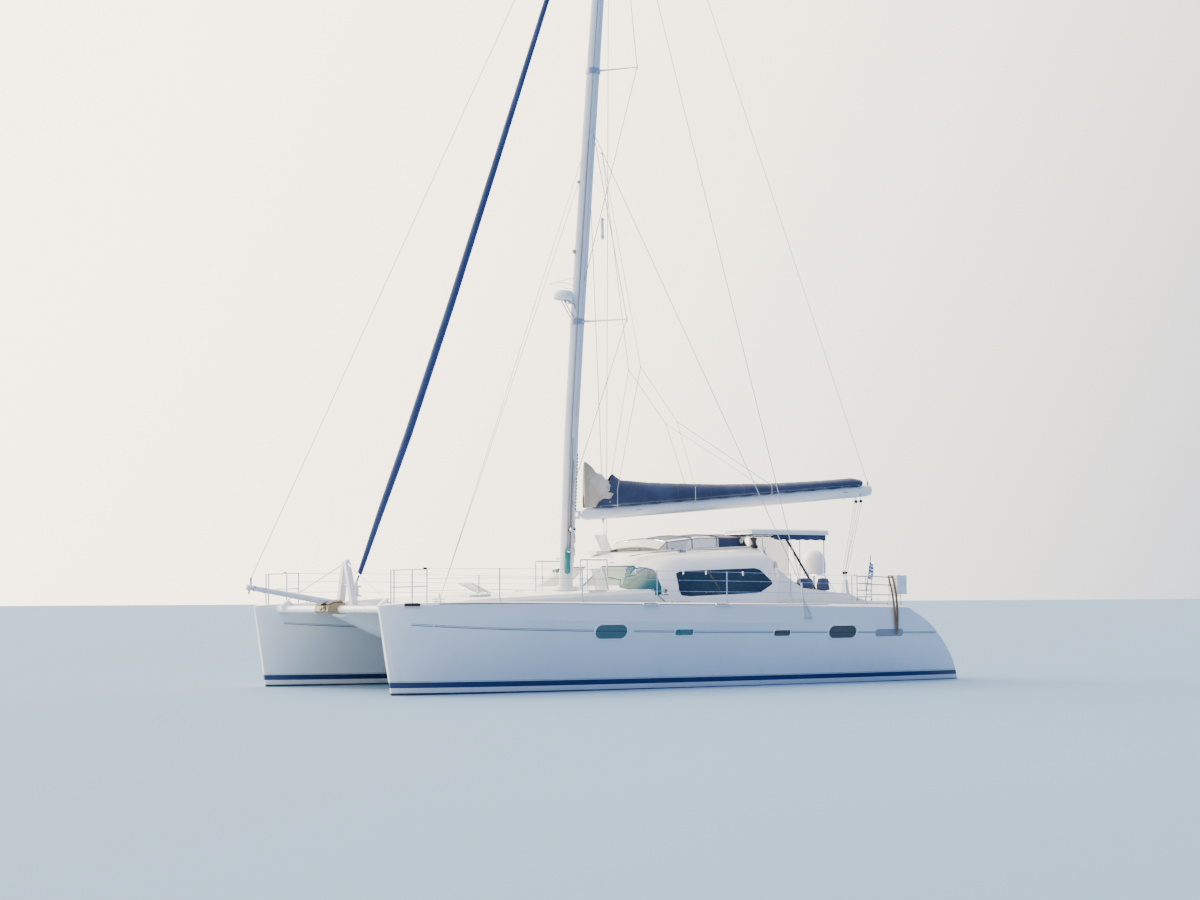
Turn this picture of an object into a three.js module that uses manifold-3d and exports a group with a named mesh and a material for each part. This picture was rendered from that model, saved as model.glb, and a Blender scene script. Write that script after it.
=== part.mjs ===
// Sailing catamaran, afloat. Millimetres; +X to the bow, +Y to port, +Z up.
// The origin is on the waterline, amidships on the centreline.
import * as THREE from 'three';
import { mergeVertices } from 'three/addons/utils/BufferGeometryUtils.js';
import Module from 'manifold-3d';

const wasm = await Module();
wasm.setup();
const { Manifold, Mesh: SolidMesh } = wasm;

const joint = 0.3;              // space left between pieces that touch
const hullSpacing = 6000;       // between the two hull centrelines
const hullY = hullSpacing / 2;
const soleSaloon = 1150;
const soleCockpit = 1300;
const platformTop = 1700;       // top of the bridgedeck tray, under the deck mouldings
const wellHalf = 1960;          // half width of the saloon and cockpit wells

const doorway = { y: -430, half: 430, head: 2480 };   // in the aft wall of the deckhouse

const group = new THREE.Group();
group.name = 'sailing_catamaran';

// Makes a closed, outward facing solid from a three.js geometry.
function toSolid(geometry) {
  const plain = new THREE.BufferGeometry();
  plain.setAttribute('position', geometry.attributes.position.clone());
  if (geometry.index) plain.setIndex(geometry.index.clone());
  const merged = mergeVertices(plain, 1e-3);
  const p = merged.attributes.position.array;
  const t = Array.from(merged.index.array);
  let volume = 0;
  const kept = [];
  for (let i = 0; i < t.length; i += 3) {
    const [a, b, c] = [t[i], t[i + 1], t[i + 2]];
    if (a === b || b === c || a === c) continue;
    const at = (k) => new THREE.Vector3(p[3 * k], p[3 * k + 1], p[3 * k + 2]);
    volume += at(a).dot(at(b).cross(at(c)));
    kept.push([a, b, c]);
  }
  const order = volume < 0 ? kept.map(([a, b, c]) => [a, c, b]) : kept;
  return new Manifold(new SolidMesh({
    numProp: 3,
    vertProperties: new Float32Array(p),
    triVerts: new Uint32Array(order.flat()),
  }));
}

// Triangles that close a ring of points, also a hollow-sided one.
function capOf(ring) {
  const normal = new THREE.Vector3();
  ring.forEach((a, i) => {
    const b = ring[(i + 1) % ring.length];
    normal.x += (a[1] - b[1]) * (a[2] + b[2]);
    normal.y += (a[2] - b[2]) * (a[0] + b[0]);
    normal.z += (a[0] - b[0]) * (a[1] + b[1]);
  });
  const size = [Math.abs(normal.x), Math.abs(normal.y), Math.abs(normal.z)];
  const drop = size.indexOf(Math.max(...size));
  const [u, v] = [[1, 2], [0, 2], [0, 1]][drop];
  return THREE.ShapeUtils.triangulateShape(ring.map((a) => new THREE.Vector2(a[u], a[v])), []);
}

// Skin through rings of equal point count, closed at both ends.
function loft(rings) {
  const n = rings[0].length;
  const index = [];
  for (let r = 0; r < rings.length - 1; r += 1) {
    for (let i = 0; i < n; i += 1) {
      const j = (i + 1) % n;
      const [a, b, c, d] = [r * n + i, r * n + j, (r + 1) * n + j, (r + 1) * n + i];
      index.push(a, b, c, a, c, d);
    }
  }
  const last = (rings.length - 1) * n;
  // A cap is wound the other way from the side faces that it meets.
  const close = (faces, offset, forward) => {
    const runs = faces.some((f) => f.some((a, k) => (f[(k + 1) % 3] - a + n) % n === 1));
    faces.forEach(([a, b, c]) => index.push(offset + a, offset + (runs === forward ? b : c),
      offset + (runs === forward ? c : b)));
  };
  close(capOf(rings[0]), 0, false);
  close(capOf(rings[rings.length - 1]), last, true);
  const geometry = new THREE.BufferGeometry();
  geometry.setAttribute('position', new THREE.Float32BufferAttribute(rings.flat(2), 3));
  geometry.setIndex(index);
  return toSolid(geometry);
}

// Straight prism of an outline drawn in the xy, xz or yz plane.
function prism(outline, plane, from, to) {
  const place = {
    xy: ([a, b], c) => [a, b, c],
    xz: ([a, b], c) => [a, c, b],
    yz: ([a, b], c) => [c, a, b],
  }[plane];
  return loft([from, to].map((c) => outline.map((p) => place(p, c))));
}

const box = (x0, x1, y0, y1, z0, z1) => prism([[x0, y0], [x1, y0], [x1, y1], [x0, y1]], 'xy', z0, z1);

// Round bar between two points; the second radius tapers it.
function rod(a, b, radius, sides = 8, radiusEnd = radius) {
  const from = new THREE.Vector3(...a);
  const to = new THREE.Vector3(...b);
  const along = new THREE.Vector3().subVectors(to, from);
  const geometry = new THREE.CylinderGeometry(radiusEnd, radius, along.length(), sides);
  geometry.applyQuaternion(new THREE.Quaternion()
    .setFromUnitVectors(new THREE.Vector3(0, 1, 0), along.clone().normalize()));
  geometry.translate((from.x + to.x) / 2, (from.y + to.y) / 2, (from.z + to.z) / 2);
  return toSolid(geometry);
}

function ball(at, radius, sides = 8) {
  const geometry = new THREE.SphereGeometry(radius, sides, Math.max(4, sides / 2));
  geometry.translate(...at);
  return toSolid(geometry);
}

// Bars end to end through a list of points, with a ball at each corner.
function bars(points, radius, sides = 8) {
  const parts = [];
  points.forEach((p, i) => {
    if (i > 0) parts.push(rod(points[i - 1], p, radius, sides));
    if (i > 0 && i < points.length - 1) parts.push(ball(p, radius * 1.04, sides));
  });
  return join(parts);
}

// Turned piece about a vertical axis through (x, y): rows of radius and height.
function turned(rows, x, y, sides = 20) {
  const geometry = new THREE.LatheGeometry(rows.map(([r, z]) => new THREE.Vector2(r, z)), sides);
  geometry.rotateX(Math.PI / 2);
  geometry.translate(x, y, 0);
  return toSolid(geometry);
}

const join = (parts) => Manifold.union(parts);
const mirror = (solid) => solid.mirror([0, 1, 0]);
const both = (solid) => join([solid, mirror(solid)]);
const biggest = (solid) => solid.decompose().sort((a, b) => b.volume() - a.volume())[0];

// Value of column k at x in a table sorted by falling or rising first column.
function at(table, x, k = 1) {
  const rows = [...table].sort((a, b) => a[0] - b[0]);
  if (x <= rows[0][0]) return rows[0][k];
  for (let i = 1; i < rows.length; i += 1) {
    if (x <= rows[i][0]) {
      const t = (x - rows[i - 1][0]) / (rows[i][0] - rows[i - 1][0]);
      return rows[i - 1][k] + t * (rows[i][k] - rows[i - 1][k]);
    }
  }
  return rows[rows.length - 1][k];
}

function piece(name, solid, color, roughness = 0.5, metalness = 0) {
  const mesh = solid.simplify(0.1).getMesh();
  const geometry = new THREE.BufferGeometry();
  geometry.setAttribute('position', new THREE.BufferAttribute(new Float32Array(mesh.vertProperties), 3));
  geometry.setIndex(new THREE.BufferAttribute(new Uint32Array(mesh.triVerts), 1));
  geometry.computeVertexNormals();
  const made = new THREE.Mesh(geometry, new THREE.MeshStandardMaterial({ color, roughness, metalness }));
  made.name = name;
  group.add(made);
}

const gelcoat = 0xf2f2ef;
const navy = 0x16233f;
const steel = 0xc4c8cc;

// Hulls: x at the deck, x at the keel, deck half beam, sheer height, knuckle half beam,
// knuckle height, waterline half beam, depth below the water.
const stations = [
  [7500, 7200, 34, 1788, 36, 1560, 24, 60],
  [7410, 7080, 112, 1806, 118, 1552, 62, 230],
  [7150, 6850, 250, 1828, 262, 1540, 135, 400],
  [6500, 6350, 450, 1850, 468, 1530, 250, 520],
  [5500, 5450, 670, 1865, 692, 1512, 385, 610],
  [4000, 4000, 850, 1855, 876, 1480, 520, 670],
  [2000, 2000, 935, 1832, 964, 1440, 620, 700],
  [-500, -500, 960, 1806, 990, 1390, 670, 710],
  [-3000, -3000, 950, 1775, 978, 1340, 690, 640],
  [-5200, -5200, 915, 1738, 940, 1296, 680, 430],
  [-6600, -6600, 860, 1712, 884, 1265, 655, 190],
  [-7500, -7500, 800, 1700, 820, 1240, 620, 30],
];
const halfBeam = (x) => at(stations, x, 2);
const sheer = (x) => at(stations, x, 3);

function hullSolid(grow) {
  const ring = ([xd, xk, b, s, k, kz, w, d]) => {
    const half = [
      [0, s + 25 + grow], [b * 0.9 + grow, s + 8 + grow], [b + grow, s - 40], [k + grow, kz],
      [(k + w) / 2 + 20 + grow, kz / 2], [w + grow, 0], [w * 0.82 + grow, -0.55 * d],
      [w * 0.34 + grow, -0.93 * d - grow], [0, -d - grow],
    ];
    const round = [...half, ...half.slice(1, -1).reverse().map(([y, z]) => [-y, z])];
    return round.map(([y, z]) => [xk + (xd - xk) * ((z + d) / (s + d)), hullY + y, z]);
  };
  return loft(stations.map(ring));
}

// Side view of the stern, from the sheer down to the water.
const sternCurve = [
  [-5600, 1760], [-5850, 1640], [-6300, 1400], [-6600, 1165], [-6870, 920], [-7100, 660],
  [-7270, 440], [-7420, 160], [-7480, -20],
];
const sternSteps = [[-5950, 1400], [-6270, 1080], [-6590, 760], [-6890, 440], [-7130, 200]];
const stepHalf = 600;

const keelRings = [
  // z, leading edge, trailing edge, half thickness
  [-560, 1150, -1500, 130],
  [-1380, 750, -1150, 95],
  [-1410, 640, -1080, 40],
];
const foil = (nose, tail, half, y, z) => [
  [1, 0], [0.88, 0.6], [0.68, 1], [0.35, 0.75], [0, 0.08],
].flatMap(([t, s], i) => (i === 0 ? [[tail + t * (nose - tail), y, z]] : [[tail + t * (nose - tail), y + s * half, z]]))
  .concat([[0, 0.08], [0.35, 0.75], [0.68, 1], [0.88, 0.6]].map(([t, s]) => [tail + t * (nose - tail), y - s * half, z]));

const rudder = { x: -5900, stock: 36, bore: 37, top: -365, foot: -1330, nose: 170, tail: -430, half: 42 };
const drive = { x: -4350, depth: -720, propX: -4640, propRadius: 225 };

const sternAway = prism([...sternCurve, [-8000, -20], [-8000, 2600], [-5600, 2600]], 'xz', hullY - 1200, hullY + 1200);
const stepsAway = join(sternSteps.map(([x, z]) => box(-8000, x, hullY - stepHalf, hullY + stepHalf, z, 2600)));
const boreAway = rod([rudder.x, hullY, -900], [rudder.x, hullY, 420], rudder.bore, 24);
const hullPort = join([
  hullSolid(0), loft(keelRings.map(([z, nose, tail, half]) => foil(nose, tail, half, hullY, z))),
]).subtract(join([sternAway, stepsAway, boreAway]));
const hullGrown = hullSolid(joint);
const hullsGrown = both(hullGrown);

piece('hull_port', hullPort, gelcoat, 0.25);
piece('hull_starboard', mirror(hullPort), gelcoat, 0.25);

// Bridgedeck tray between the hulls, with the wells of the saloon and the cockpit.
const trayProfile = [
  [4600, 1300], [4350, 980], [3900, 770], [-6450, 720], [-6450, platformTop], [4600, platformTop],
];
const nacelle = loft([[4420, 60, 1180], [3600, 420, 520], [1500, 520, 480], [-1800, 420, 560], [-2600, 60, 730]]
  .map(([x, half, low]) => [[x, half, 1250], [x, half, (low + 800) / 2], [x, 0, low], [x, -half, (low + 800) / 2], [x, -half, 1250]]));
const tray = join([prism(trayProfile, 'xz', -2450, 2450), nacelle]).subtract(join([
  box(-2990, 850, -wellHalf, wellHalf, soleSaloon, 1900),
  box(-6150, -3060, -wellHalf, wellHalf, soleCockpit, 1900),
  box(-3070, -2980, doorway.y - doorway.half, doorway.y + doorway.half, soleCockpit + 30, 1900),
  hullsGrown,
]));
piece('bridgedeck', tray, gelcoat, 0.3);

// Hatches: hinge position, deck height there, lid size, angle that the lid stands open.
const hatches = {
  side: { x: 1950, y: 2700, deck: 2062, size: 500, open: 76 },
  fore: { x: 4000, y: 1250, deck: 1990, size: 560, open: 24 },
  roof: { x: -420, y: -700, deck: 3012, size: 420, open: 64 },
};
const coamingHigh = 34;
const barrel = 16;
const hatchCoaming = ({ x, y, deck, size }) => box(x + barrel + 0.4, x + size - 30, y - size / 2 + 30, y + size / 2 - 30, deck - 60, deck + coamingHigh)
  .subtract(box(x + barrel + 40, x + size - 70, y - size / 2 + 70, y + size / 2 - 70, deck + 8, deck + 100));

// Deckhouse: height, front at the centreline, front at the side, half width, aft end, aft corner set forward, rise aft.
const houseLevels = [
  [platformTop, 1010, -80, 2510, -3050, 0, 0],
  [2200, 930, -120, 2470, -3050, 0, 0],
  [2690, 360, -420, 2290, -3090, 60, 0.045],
  [2840, 200, -560, 2110, -3160, 260, 0.045],
  [2950, -180, -900, 1720, -3230, 420, 0.045],
  [3000, -800, -1400, 1150, -3260, 420, 0.045],
];
// Front of the plan: share of the half width, share of the reach forward.
const houseFront = [[1, 0], [0.985, 0.3], [0.94, 0.58], [0.86, 0.78], [0.72, 0.91], [0.45, 0.98], [0, 1]];
function houseSolid(inset) {
  const ring = ([z, front, side, half, aft, corner, rise]) => {
    const lift = z === platformTop ? z : z - inset;
    const w = half - inset;
    const start = [[aft + inset, 0.84 * w], [aft + inset + corner, w]];
    const nose = houseFront.map(([u, v]) => [side + (front - inset - side) * v, u * w]);
    const port = [...start, ...nose];
    const round = [...port, ...port.slice(0, -1).reverse().map(([x, y]) => [x, -y])];
    return round.map(([x, y]) => [x, y, lift - rise * x]);
  };
  const levels = inset > 0 ? houseLevels.map((row) => [...row]) : houseLevels;
  if (inset > 0) levels[0][0] = platformTop - 40;
  return loft(levels.map(ring));
}
const houseWall = 45;
const sideWindow = [
  [-262, 2110], [-262, 2480], [-420, 2530], [-2480, 2605], [-2640, 2570], [-2930, 2300], [-2930, 2240],
  [-2560, 2050], [-2420, 2030], [-560, 1965], [-330, 1985],
];
const screenSide = [[170, 2010], [170, 2560], [330, 2650], [1300, 2650], [1300, 2210], [860, 2180], [620, 2020], [300, 1985]];
const screenFront = [[300, 2215], [330, 2672], [1560, 2668], [1850, 2560], [2060, 2215]];
const shrink = (outline, by) => {
  const [cx, cy] = outline.reduce(([a, b], [x, y]) => [a + x / outline.length, b + y / outline.length], [0, 0]);
  return outline.map(([x, y]) => {
    const far = Math.hypot(x - cx, y - cy);
    return [x + ((cx - x) * by) / far, y + ((cy - y) * by) / far];
  });
};
const sideCut = (by) => prism(shrink(sideWindow, by), 'xz', 1900, 2800);
const screenCut = (by) => join([
  prism(shrink(screenSide, by), 'xz', 1740 + by, 2800), prism(shrink(screenFront, by), 'yz', -250, 1500),
]);
const houseOuter = houseSolid(0);
const houseGrown = houseSolid(-joint);
const house = join([houseOuter, hatchCoaming(hatches.roof)]).subtract(houseSolid(houseWall)).subtract(join([
  both(sideCut(0)), both(screenCut(0)), hullsGrown,
  box(-3400, -2900, doorway.y - doorway.half, doorway.y + doorway.half, 1600, doorway.head),
]));
piece('deckhouse', house, gelcoat, 0.3);

const glassShell = houseSolid(12).subtract(houseSolid(22));
const glassFrame = (cut) => biggest(glassShell.intersect(cut));
const screenGlass = glassFrame(screenCut(joint));
const sideGlass = glassFrame(sideCut(joint));
piece('windscreen_port', screenGlass, 0x2f6d78, 0.1);
piece('windscreen_starboard', mirror(screenGlass), 0x2f6d78, 0.1);
piece('side_window_port', sideGlass, 0x1c2730, 0.1);
piece('side_window_starboard', mirror(sideGlass), 0x1c2730, 0.1);

// Raised foredeck, over the bridgedeck and the hull decks.
const foreOutline = [
  [500, 2650], [1500, 3020], [3400, 3120], [4900, 3080], [5450, 2960], [5620, 2760], [5450, 2560],
  [4850, 2300], [4600, 2150],
];
const foreTop = [[5620, 1885], [5000, 1930], [4500, 1965], [3000, 2025], [1900, 2065], [900, 2125], [400, 2130]];
const foreRing = (inset, z) => {
  const half = foreOutline.map(([x, y], i) => [x - (i > 4 ? inset : 0), y - (i < 7 ? inset : 0)]);
  return [...half, ...half.slice().reverse().map(([x, y]) => [x, -y])].map(([x, y]) => [x, y, z(x)]);
};
const foredeckRaw = loft([
  foreRing(0, () => platformTop + joint), foreRing(0, (x) => at(foreTop, x) - 70), foreRing(70, (x) => at(foreTop, x)),
]);
const foredeck = join([foredeckRaw, hatchCoaming(hatches.side), hatchCoaming(hatches.fore)])
  .subtract(join([hullsGrown, houseGrown]));
piece('foredeck', foredeck, gelcoat, 0.35);

// Cockpit moulding: sole, benches, coamings with the swept wings beside the door.
const coaming = [
  [-3060, 1700], [-3060, 2600], [-3320, 2420], [-3780, 2150], [-4400, 2085], [-5200, 2005], [-5800, 1815],
  [-6450, 1790], [-6450, 1700],
];
const cockpitRaw = join([
  both(prism(coaming.map(([x, z]) => [x, z === 1700 ? 1700 + joint : z]), 'xz', wellHalf - 10, 2460)),
  box(-6450, -6100, -2000, 2000, platformTop + joint, 1790),
  box(-6150 + joint, -3060 - joint, -wellHalf + joint, wellHalf - joint, soleCockpit + joint, soleCockpit + 30),
  box(-6150 + joint, -5620, -wellHalf + joint, wellHalf - joint, soleCockpit + 10, 1730),
  box(-5700, -4200, -wellHalf + joint, -1380, soleCockpit + 10, 1730),
]);
const cockpit = cockpitRaw.subtract(join([hullsGrown, houseGrown]));
piece('cockpit', cockpit, gelcoat, 0.35);

// Beam between the bows, its side webs, the centre walkway and what stands on it.
const beam = { x: 7000, z: 1725, radius: 80 };
const web = prism([[480, 1625], [2800, 1640], [2800, 1060]], 'yz', beam.x - 25, beam.x + 25);
const rodSeat = [beam.x, 2330, 1950];
const beamSolid = join([
  rod([beam.x, -2800, beam.z], [beam.x, 2800, beam.z], beam.radius, 20),
  both(web),
  both(loft([[6840, 60], [7000, 150], [7160, 60]].map(([x, half]) => [[x, 2330 - half, 1740], [x, 2330 + half, 1740],
    [x, 2330 + half * 0.5, 1740 + half * 1.3], [x, 2330 - half * 0.5, 1740 + half * 1.3]]))),
]);
piece('crossbeam', biggest(beamSolid.subtract(hullsGrown)), gelcoat, 0.3);
const beamGrown = join([
  rod([beam.x, -2800, beam.z], [beam.x, 2800, beam.z], beam.radius + joint, 20),
  both(prism([[479, 1625], [2800, 1640], [2800, 1059]], 'yz', beam.x - 25 - joint, beam.x + 25 + joint)),
]);
const walkHalf = 380;
const walkTop = 1770;
const walk = join([
  box(4600 + joint, 6950, -walkHalf, walkHalf, 1690, walkTop),
  prism([[6900, 1630], [6900, 1862], [7120, 1862], [7290, 1800], [7310, 1690], [7240, 1630]], 'xz', -330, 330),
]).subtract(join([
  beamGrown, rod([7085, 0, 1735], [7500, 0, 1715], 40, 14), box(7100, 7400, -60, 60, 1800, 1900),
]));
piece('bow_walkway', walk.subtract(foredeckRaw), 0xc9a878, 0.6);

const spritBase = [6700, 0, 1812];
const spritTip = [9013, 0, 2205];
const sprit = join([
  rod(spritBase, spritTip, 76, 18, 54),
  rod([spritTip[0] - 90, 0, 2170], [spritTip[0] - 90, 0, 2310], 26, 10),
]).subtract(join([
  beamGrown, box(6500, 6950, -400, 400, 1600, walkTop + joint), box(6890, 7320, -340, 340, 1600, 1862 + joint),
]));
piece('bowsprit', sprit, gelcoat, 0.3);

const apex = [6720, 0, 2745];
const legFoot = [6690, 340, walkTop + joint];
const legSolid = loft([[legFoot, 72], [[apex[0], 34, apex[2]], 58]].map(([[x, y, z], half]) => [
  [x - half, y - half, z], [x + half, y - half, z], [x + half, y + half, z], [x - half, y + half, z]]));
const strikerRaw = join([
  both(legSolid), rod([apex[0] - 30, 0, 2700], [apex[0] - 30, 0, 2790], 46, 12),
  rod([6705, -300, 2250], [6705, 300, 2250], 26, 8),
  both(rod([apex[0], 20, apex[2] - 15], [rodSeat[0], rodSeat[1], rodSeat[2] - 20], 16, 8)),
]);
const lumpGrown = both(loft([[6839, 60], [7000, 150 + joint], [7161, 60]].map(([x, half]) => [[x, 2330 - half, 1740],
  [x, 2330 + half, 1740], [x, 2330 + half * 0.5, 1740 + half * 1.3 + joint], [x, 2330 - half * 0.5, 1740 + half * 1.3 + joint]])));
piece('bow_striker', strikerRaw.subtract(lumpGrown), gelcoat, 0.35);

const net = (sign) => {
  const outline = [[4600 + joint, 420], [6990, 420], [6990, 2420], [6600, 2500], [5600, 2350], [4900, 2230], [4600 + joint, 2180]];
  const solid = prism(outline, 'xy', 1772, 1786).subtract(join([beamGrown, hullsGrown, foredeckRaw, lumpGrown, strikerRaw]));
  const one = biggest(solid);
  return sign > 0 ? one : mirror(one);
};
piece('trampoline_port', net(1), 0xd9d9d4, 0.9);
piece('trampoline_starboard', net(-1), 0xd9d9d4, 0.9);

// Mast: height, fore-and-aft position of its middle, half depth, half width.
const mastRings = [
  [2128, 1140, 180, 105], [4200, 1052, 180, 105], [5800, 975, 180, 105], [8500, 785, 180, 105],
  [11200, 572, 178, 104], [14000, 345, 170, 100], [16500, 140, 160, 95], [19000, -66, 140, 86],
  [20800, -215, 112, 74], [22150, -326, 88, 62],
];
const oval = (x, y, z, a, b, n = 14) => Array.from({ length: n }, (_, i) => {
  const t = (i / n) * 2 * Math.PI;
  return [x + a * Math.cos(t), y + b * Math.sin(t), z];
});
const mastX = (z) => at(mastRings, z, 1);
const mastSolid = (grow) => loft(mastRings.map(([z, x, a, b]) => oval(x, 0, z - (grow && z < 2200 ? 5 : 0), a + grow, b + grow)));
const mastGrown = mastSolid(joint);
const gooseneck = [780, 0, 3850];
const craneTip = [-742, 0, 22110];
const onAxis = (z) => gooseneck[0] + ((craneTip[0] - gooseneck[0]) * (z - gooseneck[2])) / (craneTip[2] - gooseneck[2]);
const crane = join([
  box(craneTip[0] - 40, -300, -22, 22, 22060, 22150), box(-300, -60, -30, 30, 22080, 22150),
]);
// The boom turns about the line from the gooseneck to the crane, so lugs and pin lean with it.
const axisLean = (-180 / Math.PI) * Math.atan2(gooseneck[0] - craneTip[0], craneTip[2] - gooseneck[2]);
const onGooseneck = (solid) => solid.rotate([0, axisLean, 0]).translate(gooseneck);
const boomLug = onGooseneck(join([box(-35, 286, -30, 30, -90, -50), box(-35, 286, -30, 30, 50, 90)]));
const mastFoot = loft([[2050, 330, 210], [2129, 330, 210], [2160, 250, 160], [2230, 200, 125]]
  .map(([z, a, b]) => oval(1140, 0, z, a, b)));
const mast = join([mastSolid(0), crane, boomLug, mastFoot]);
piece('mast', mast.subtract(join([foredeckRaw.translate([0, 0, joint]), houseGrown])), gelcoat, 0.3);

// Spreaders: height at the mast, tip, lower and upper ends of the diamond wires.
const spreaders = {
  spreaders_lower: { z: 8320, tip: [50, 950, 8330], low: 4450, high: 12900 },
  spreaders_upper: { z: 14270, tip: [-285, 950, 14250], low: 9100, high: 20450 },
};
for (const [name, { z, tip, low, high }] of Object.entries(spreaders)) {
  const onMast = (h) => [mastX(h) - 60, 60, h];
  const arm = join([
    loft([[mastX(z), 0, z, 46], [...tip, 26]].map(([x, y, h, r]) => [[x + r, y, h], [x, y, h + r * 0.6], [x - r, y, h], [x, y, h - r * 0.6]])),
    rod([tip[0], tip[1], tip[2] - 60], [tip[0], tip[1], tip[2] + 60], 16, 8),
    rod(onMast(low), tip, 9, 6), rod(tip, onMast(high), 9, 6),
  ]);
  const collar = loft([z - 70, z + 70].map((h) => oval(mastX(h), 0, h, 196, 120)));
  piece(name, join([both(arm), collar]).subtract(mastGrown), steel, 0.35, 0.8);
}

// Standing rigging of each side, down to the plates outside the hull.
const plateX = -2600;
const plateTop = [plateX + 20, 3940, 2160];
const shroudSide = join([
  rod(plateTop, [mastX(20600), 40, 20600], 9, 6),
  rod(plateTop, [mastX(12930), 60, 12930], 9, 6),
  rod([plateTop[0], plateTop[1], 2250], [plateX + 10, 3958, 1900], 20, 8),
  rod([plateX + 10, 3958, 1930], [plateX - 60, 3992, 1470], 15, 8),
  rod([plateX + 10, 3958, 1930], [plateX - 190, 3992, 1530], 15, 8),
  box(plateX - 230, plateX - 10, 3960, 3998, 1440, 1500),
]).subtract(join([mastGrown, hullGrown]));
const shroudBody = biggest(shroudSide);
piece('shrouds_port', shroudBody, steel, 0.35, 0.9);
piece('shrouds_starboard', mirror(shroudBody), steel, 0.35, 0.9);

// Forestay with the rolled headsail: x, height, radius.
const foresail = [
  [6480, 2280, 14], [6413, 2440, 20], [6395, 2490, 52], [5900, 3800, 74], [5209, 5550, 88], [4150, 8450, 86],
  [3080, 11500, 78], [1587, 15780, 62], [560, 18850, 44], [240, 19800, 22], [60, 20350, 14],
];
const stayRing = ([x, z, r], i, all) => {
  const [px, pz] = all[Math.max(i - 1, 0)];
  const [nx, nz] = all[Math.min(i + 1, all.length - 1)];
  const long = Math.hypot(nx - px, nz - pz);
  const [ax, az] = [-(nz - pz) / long, (nx - px) / long];
  return Array.from({ length: 12 }, (_, k) => {
    const t = (k / 12) * 2 * Math.PI;
    return [x + r * Math.cos(t) * ax, r * Math.sin(t), z + r * Math.cos(t) * az];
  });
};
const hounds = join([rod([60, 0, 20350], [-120, 0, 20560], 14, 8)]);
const stay = join([loft(foresail.map(stayRing)), hounds]).subtract(mastGrown);
piece('rolled_headsail', stay, 0x1d2f5c, 0.8);
const drumRows = [
  [0, walkTop + joint], [60, walkTop + joint], [60, 1800], [30, 1815], [30, 1990], [118, 2000], [118, 2030],
  [56, 2040], [56, 2190], [118, 2200], [118, 2225], [40, 2240], [26, 2320], [0, 2320],
];
const drum = turned(drumRows, 6475, 0, 14).subtract(loft(foresail.map(([x, z, r]) => [x, z, r + 1]).map(stayRing)));
piece('furler_drum', drum, 0xe8e8e6, 0.4);

// Inner stay pair, and the halyard led to the bowsprit.
const innerStay = join([
  rod([4440, 0, 1900], [mastX(12370) + 100, 0, 12370], 8, 6), rod([4440, 0, 1900], [mastX(11900) + 100, 0, 11900], 8, 6),
  rod([4440, 0, 1890], [4440, 0, 2060], 18, 8),
]).subtract(join([mastGrown, foredeckRaw.translate([0, 0, joint])]));
piece('inner_stay', biggest(innerStay), steel, 0.35, 0.9);
const tipEye = [spritTip[0] - 90, 0, 2310 + joint];
const halyard = join([
  rod([tipEye[0], 0, tipEye[2]], [tipEye[0], 0, tipEye[2] + 90], 24, 8),
  rod([tipEye[0], 0, tipEye[2] + 70], [mastX(21200), 0, 21200], 8, 5),
]).subtract(mastGrown);
piece('sprit_halyard', biggest(halyard), 0xd8d8d0, 0.8);

// Rails of one side: pulpit, stanchions, lifelines and the stern rail, all welded and strung together.
const railHeights = [[7500, 690], [0, 680], [-4600, 655], [-5700, 640]];
const railShare = [1, 0.72, 0.37];
const postX = [5020, 3105, 1235, -607, -2390, -4170, -4592];
const railPoint = (x, share, side = 1) => [
  x, hullY + side * (halfBeam(x) * 0.93 - 90), sheer(x) + at(railHeights, x) * share,
];
const railSide = () => {
  const sternX = -5650;
  const nose = (share, y) => [7180, hullY + y, sheer(7180) + 690 * share];
  const inner = (share) => [sternX - 60, hullY + 280, sheer(sternX) + 640 * share];
  const post = (point) => rod([...point(0).slice(0, 2), point(0)[2] - 12], point(1.02), 15, 4);
  const parts = postX.map((x) => post((share) => railPoint(x, share)));
  parts.push(...[[6560, 1], [6560, -1], [sternX, 1]].map(([x, side]) => post((share) => railPoint(x, share, side))));
  parts.push(post((share) => nose(share, 70)), post((share) => nose(share, -70)), post(inner));
  for (const share of railShare) {
    const line = [sternX, ...[...postX].reverse(), 6560].map((x) => railPoint(x, share));
    for (let k = 1; k < line.length; k += 1) {
      const stiff = k === 1;
      parts.push(rod(line[k - 1], line[k], stiff ? 13 : 6, stiff ? 4 : 3));
    }
  }
  for (const share of [1, 0.5]) {
    parts.push(rod(railPoint(6560, share), nose(share, 70), 14, 5), rod(nose(share, 70), nose(share, -70), 14, 5));
    parts.push(rod(nose(share, -70), railPoint(6560, share, -1), 14, 5), rod(railPoint(sternX, share), inner(share), 14, 5));
  }
  return join(parts).subtract(hullGrown);
};
const rails = railSide().decompose().sort((a, b) => b.volume() - a.volume())[0];
piece('rails_port', rails, steel, 0.3, 0.9);
piece('rails_starboard', mirror(rails), steel, 0.3, 0.9);

// Bars beside the mast.
const mastBar = (y) => join([
  bars([[640, y, 2080], [640, y, 2800], [1360, y, 2800], [1360, y, 2080]], 16, 6),
  rod([1180, y, 2080], [1180, y, 2800], 13, 6),
]).subtract(join([foredeckRaw.translate([0, 0, joint]), houseGrown]));
const bar = mastBar(960).decompose().sort((a, b) => b.volume() - a.volume())[0];
piece('mast_bar_port', bar, steel, 0.3, 0.9);
piece('mast_bar_starboard', mirror(bar), steel, 0.3, 0.9);

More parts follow.
